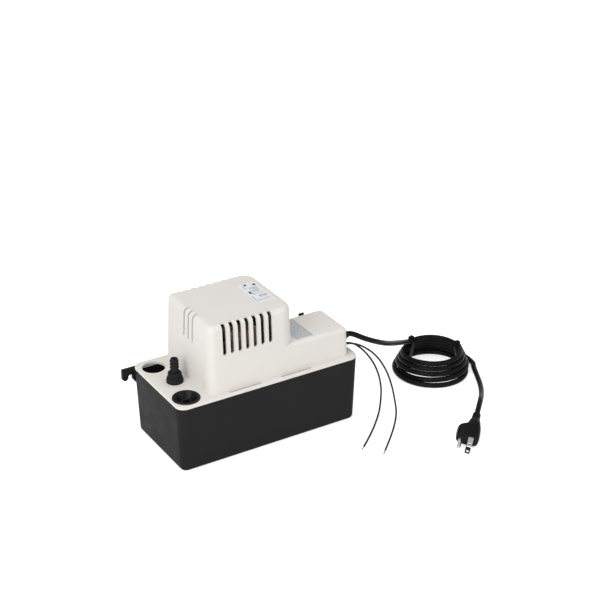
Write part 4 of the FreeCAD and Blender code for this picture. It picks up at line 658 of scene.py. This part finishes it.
def sides_along(line):
    """At each point two directions across the line, which turn as little as possible on the way."""
    last = len(line) - 1
    ways = []
    for i in range(len(line)):
        way = line[min(i + 1, last)] - line[max(i - 1, 0)]
        ways.append(way.normalized())
    side = ways[0].cross(Vector((0, 0, 1))).normalized()
    result = []
    for way in ways:
        side = (side - way * side.dot(way)).normalized()
        result.append((side, way.cross(side)))
    return result


def tube_mesh(name, line, radius, sides):
    """A round tube with closed ends along the line."""
    bm = bmesh.new()
    rings = []
    for place, (side, up) in zip(line, sides_along(line)):
        ring = []
        for k in range(sides):
            angle = 2 * math.pi * k / sides
            out = side * math.cos(angle) + up * math.sin(angle)
            ring.append(bm.verts.new(place + out * radius))
        rings.append(ring)
    skin(bm, rings)
    bm.faces.new(list(reversed(rings[0])))
    bm.faces.new(rings[-1])
    bmesh.ops.recalc_face_normals(bm, faces=bm.faces)
    return finish_mesh(bm, name)


cord_line = smooth_line(in_metres(FROM_RELIEF) + coil_points() + in_metres(TO_PLUG))

STRAP_WIDTH = 8.0 * MM
STRAP_THICKNESS = 0.9 * MM
STRAP_GAP = 0.3 * MM
STRAP_STEPS = 40
STRAP_OFF_FLOOR = 0.2 * MM
STRAP_ROUNDING = 0.4 * MM
HEAD_SIZE = (5.4 * MM, 6.4 * MM, 2.8 * MM)
HEAD_RISE = 0.8 * MM
HEAD_SHIFT = 0.5 * MM
# The turns within this reach of the coil's centre are in the bundle, and the leaving end is outside.
BUNDLE_REACH = 54.0 * MM


def bundle_at(angle):
    """Where the bundled turns pass this side of the coil, as distances from its centre and heights."""
    way = Vector((math.cos(angle), math.sin(angle), 0.0))
    side = Vector((-way.y, way.x, 0.0))
    places = []
    for one, two in zip(cord_line, cord_line[1:]):
        before, after = (one - COIL_CENTRE).dot(side), (two - COIL_CENTRE).dot(side)
        if (before > 0) == (after > 0):
            continue
        place = one.lerp(two, before / (before - after)) - COIL_CENTRE
        if 0.0 < place.dot(way) < BUNDLE_REACH:
            places.append((place.dot(way), place.z))
    return places


def strap_loop(bm, places, y, grow):
    """One edge of the strap: a taut loop round the turns, grown outwards, that stays off the floor."""
    reach = CORD_RADIUS + STRAP_GAP + grow
    lowest = STRAP_OFF_FLOOR + STRAP_THICKNESS - grow
    loop = []
    for k in range(STRAP_STEPS):
        angle = 2 * math.pi * k / STRAP_STEPS
        out, up = math.cos(angle), math.sin(angle)
        x, z = max(places, key=lambda place: place[0] * out + place[1] * up)
        loop.append(bm.verts.new((x + reach * out, y, max(z + reach * up, lowest))))
    return loop


def make_tie(name, degrees):
    """A tie at this side of the coil, with its head on top."""
    angle = math.radians(degrees)
    places = bundle_at(angle)
    bm = bmesh.new()
    near, far = -STRAP_WIDTH / 2, STRAP_WIDTH / 2
    edges = [
        strap_loop(bm, places, near, 0.0),
        strap_loop(bm, places, near, STRAP_THICKNESS),
        strap_loop(bm, places, far, STRAP_THICKNESS),
        strap_loop(bm, places, far, 0.0),
    ]
    skin(bm, [*edges, edges[0]])
    top_x, top_z = max(places, key=lambda place: place[1])
    head = bmesh.ops.create_cube(bm, size=1.0)["verts"]
    bmesh.ops.scale(bm, vec=HEAD_SIZE, verts=head)
    head_z = top_z + CORD_RADIUS + STRAP_THICKNESS + HEAD_RISE
    bmesh.ops.translate(bm, vec=(top_x + HEAD_SHIFT, 0, head_z), verts=head)
    bmesh.ops.recalc_face_normals(bm, faces=bm.faces)
    bm.transform(Matrix.Translation(COIL_CENTRE) @ Matrix.Rotation(angle, 4, "Z"))
    tie = new_piece(name, finish_mesh(bm, name), cord_vinyl, "tank")
    bevel = tie.modifiers.new("bevel", "BEVEL")
    bevel.width = STRAP_ROUNDING
    bevel.segments = 2
    bevel.limit_method = "ANGLE"
    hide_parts("cord_ties")
    return tie


upper_tie = make_tie("upper_tie", 104.0)
right_tie = make_tie("right_tie", -10.0)

cord_mesh = tube_mesh("mains_cord", cord_line, CORD_RADIUS, CORD_SIDES)
mains_cord = new_piece("mains_cord", cord_mesh, cord_vinyl)
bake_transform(mains_cord)
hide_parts("main_cord", "cord_coil", "cord_tail")


# The two switch leads. They are single stranded wires in thin vinyl that leave by the grommet, fall to
# the floor and end there, each with its insulation stripped off and seven tinned or bare strands.
LEAD_RADIUS = 1.2 * MM
LEAD_SIDES = 12
# The ways of the two leads, in millimetres.
LEAD_ONE_ROUTE = [
    (116.5, -38.7, 98.0),
    (126.0, -38.7, 98.0),
    (137.0, -46.5, 91.0),
    (154.0, -45.5, 70.0),
    (168.0, -42.0, 45.0),
    (174.5, -41.5, 20.0),
    (168.5, -49.5, 4.0),
    (151.0, -71.0, 1.4),
    (118.0, -104.0, 1.4),
    (93.0, -124.5, 1.4),
]
LEAD_TWO_ROUTE = [
    (116.5, -41.3, 98.0),
    (126.0, -41.3, 98.0),
    (139.0, -50.5, 93.5),
    (157.0, -54.0, 77.0),
    (172.0, -55.0, 52.0),
    (180.5, -57.0, 26.0),
    (180.0, -66.0, 5.0),
    (172.0, -80.0, 1.4),
    (155.0, -101.0, 1.4),
    (133.0, -124.0, 1.4),
    (110.5, -145.0, 1.4),
]
TIP_LENGTH = 9.0 * MM
TIP_STARTS_INSIDE = 0.4 * MM
OUTER_STRANDS = 6
STRAND_RADIUS = 0.24 * MM
STRAND_SIDES = 6
STRAND_STEPS = 8
STRAND_LAY = 0.45 * MM
# The strands turn by this angle, and spread by this share, over the length of the tip.
STRAND_TWIST = 1.2
STRAND_FLARE = 0.4


def tip_mesh(name, end, way):
    """Six strands laid round one, twisted and a little splayed, along the lead's last direction."""
    up = Vector((0, 0, 1))
    side = way.cross(up).normalized()
    bm = bmesh.new()
    for k in range(OUTER_STRANDS + 1):
        lay = STRAND_LAY if k < OUTER_STRANDS else 0.0
        strand = []
        for step in range(STRAND_STEPS + 1):
            share = step / STRAND_STEPS
            angle = 2 * math.pi * k / OUTER_STRANDS + STRAND_TWIST * share
            out = (side * math.cos(angle) + up * math.sin(angle)) * lay
            along = TIP_LENGTH * share - TIP_STARTS_INSIDE
            strand.append(end + way * along + out * (1 + STRAND_FLARE * share))
        mesh = tube_mesh(f"{name}_strand", strand, STRAND_RADIUS, STRAND_SIDES)
        bm.from_mesh(mesh)
        bpy.data.meshes.remove(mesh)
    return finish_mesh(bm, name)


def make_lead(name, route, node, vinyl, strands):
    """A lead and its stripped end, in place of the solids that stand for them."""
    line = smooth_line(in_metres(route))
    lead = new_piece(name, tube_mesh(name, line, LEAD_RADIUS, LEAD_SIDES), vinyl)
    way = (line[-1] - line[-2]).normalized()
    mesh = tip_mesh(f"{name}_tip", line[-1], way)
    tip = new_piece(f"{name}_tip", mesh, strands, "tank")
    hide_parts("lead_tips")
    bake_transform(lead)
    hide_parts(node)


lead_vinyl_one = moulded(
    "lead_vinyl",
    (0.012, 0.012, 0.014),
    0.4,
    grain=900.0,
    relief=0.2,
    tint=0.1,
    shine=0.15,
)
lead_vinyl_two = moulded(
    "lead_vinyl_two",
    (0.03, 0.03, 0.036),
    0.4,
    grain=900.0,
    relief=0.2,
    tint=0.1,
    shine=0.15,
)
tinned_strands = plated("tinned_strands", (0.78, 0.78, 0.78), 0.3)
bare_strands = plated("stranded_copper", (0.72, 0.5, 0.4), 0.35)
make_lead("signal_lead_one", LEAD_ONE_ROUTE, "lead_one", lead_vinyl_one, tinned_strands)
make_lead("signal_lead_two", LEAD_TWO_ROUTE, "lead_two", lead_vinyl_two, bare_strands)


# The floor and the room round it. The floor is a plain white sweep that keeps the pump's soft shadow,
# and glows a little where the camera or a reflection sees it. The room is full white where the camera
# or clear plastic sees it, and lights the pump less than that.
FLOOR_HALF = 12.0
FLOOR_SINKS = 0.3 * MM
FLOOR_WHITE = (0.9, 0.9, 0.9, 1)
FLOOR_GLOW = 0.6
ROOM_LIGHT = 0.45
ROOM_SEEN = 1.0


def either(tree, one, two):
    """1 where a ray is of either kind."""
    path = tree.nodes.new("ShaderNodeLightPath")
    node = tree.nodes.new("ShaderNodeMath")
    node.operation = "MAXIMUM"
    tree.links.new(path.outputs[one], node.inputs[0])
    tree.links.new(path.outputs[two], node.inputs[1])
    return node.outputs[0]


def floor_material():
    """White that also glows a little where it is seen, so that only the shadow darkens it."""
    material = bpy.data.materials.new("stage")
    material.use_nodes = True
    tree = material.node_tree
    tree.nodes.clear()
    out = tree.nodes.new("ShaderNodeOutputMaterial")
    white = tree.nodes.new("ShaderNodeBsdfDiffuse")
    white.inputs["Color"].default_value = FLOOR_WHITE
    glow = tree.nodes.new("ShaderNodeEmission")
    glow.inputs["Strength"].default_value = FLOOR_GLOW
    both = tree.nodes.new("ShaderNodeAddShader")
    pick = tree.nodes.new("ShaderNodeMixShader")
    tree.links.new(white.outputs[0], both.inputs[0])
    tree.links.new(glow.outputs[0], both.inputs[1])
    tree.links.new(either(tree, "Is Camera Ray", "Is Glossy Ray"), pick.inputs[0])
    tree.links.new(white.outputs[0], pick.inputs[1])
    tree.links.new(both.outputs[0], pick.inputs[2])
    tree.links.new(pick.outputs[0], out.inputs["Surface"])
    return material


floor_mesh = bpy.data.meshes.new("floor")
floor_corners = [
    (-FLOOR_HALF, -FLOOR_HALF, 0),
    (FLOOR_HALF, -FLOOR_HALF, 0),
    (FLOOR_HALF, FLOOR_HALF, 0),
    (-FLOOR_HALF, FLOOR_HALF, 0),
]
floor_mesh.from_pydata(floor_corners, [], [(0, 1, 2, 3)])
floor_mesh.materials.append(floor_material())
floor = bpy.data.objects.new("floor", floor_mesh)
bpy.context.scene.collection.objects.link(floor)
floor.location.z = -FLOOR_SINKS

room = bpy.data.worlds.new("studio")
bpy.context.scene.world = room
room.use_nodes = True
room_tree = room.node_tree
room_background = room_tree.nodes["Background"]
room_background.inputs["Color"].default_value = (1, 1, 1, 1)
room_strength = room_tree.nodes.new("ShaderNodeMapRange")
room_strength.inputs["To Min"].default_value = ROOM_LIGHT
room_strength.inputs["To Max"].default_value = ROOM_SEEN
room_seen = either(room_tree, "Is Camera Ray", "Is Transmission Ray")
room_tree.links.new(room_seen, room_strength.inputs["Value"])
room_tree.links.new(room_strength.outputs[0], room_background.inputs["Strength"])


# The lamps. Three large soft boxes light the pump: the key from the left, a weaker fill from the front
# right and one from above, all aimed at its middle. Sizes are in metres and powers in watts.
LAMP_AIM = (0.05, 0.0, 0.08)


def add_lamp(name, place, size, power):
    data = bpy.data.lights.new(name, "AREA")
    data.shape = "RECTANGLE"
    data.size, data.size_y = size
    data.energy = power
    lamp = bpy.data.objects.new(name, data)
    bpy.context.scene.collection.objects.link(lamp)
    lamp.location = place
    aim = Vector(LAMP_AIM) - Vector(place)
    lamp.rotation_euler = aim.to_track_quat("-Z", "Y").to_euler()


add_lamp("key", place=(-1.9, -1.1, 1.4), size=(1.8, 1.4), power=34.0)
add_lamp("fill", place=(0.9, -2.0, 1.2), size=(1.8, 1.4), power=11.0)
add_lamp("top", place=(0.1, 0.3, 2.2), size=(2.2, 1.8), power=11.0)
bpy.context.scene.view_settings.view_transform = "Standard"


# The camera, at the photograph's viewing angle: from the front left and above. The lens and the film
# are in millimetres.
CAMERA_AZIMUTH = math.radians(-31.46)
CAMERA_ELEVATION = math.radians(27.0)
CAMERA_PLACE = (-0.80779, -1.44709, 1.01657)
LENS_LENGTH = 92.56
FILM_WIDTH = 36.0
FARTHEST_SEEN = 20.0

camera_data = bpy.data.cameras.new("camera")
camera_data.lens = LENS_LENGTH
camera_data.sensor_width = FILM_WIDTH
camera_data.clip_end = FARTHEST_SEEN
camera = bpy.data.objects.new("camera", camera_data)
bpy.context.scene.collection.objects.link(camera)
camera.location = CAMERA_PLACE
looks_along = Vector(
    (
        -math.sin(CAMERA_AZIMUTH) * math.cos(CAMERA_ELEVATION),
        math.cos(CAMERA_AZIMUTH) * math.cos(CAMERA_ELEVATION),
        -math.sin(CAMERA_ELEVATION),
    )
)
camera.rotation_euler = looks_along.to_track_quat("-Z", "Y").to_euler()
bpy.context.scene.camera = camera
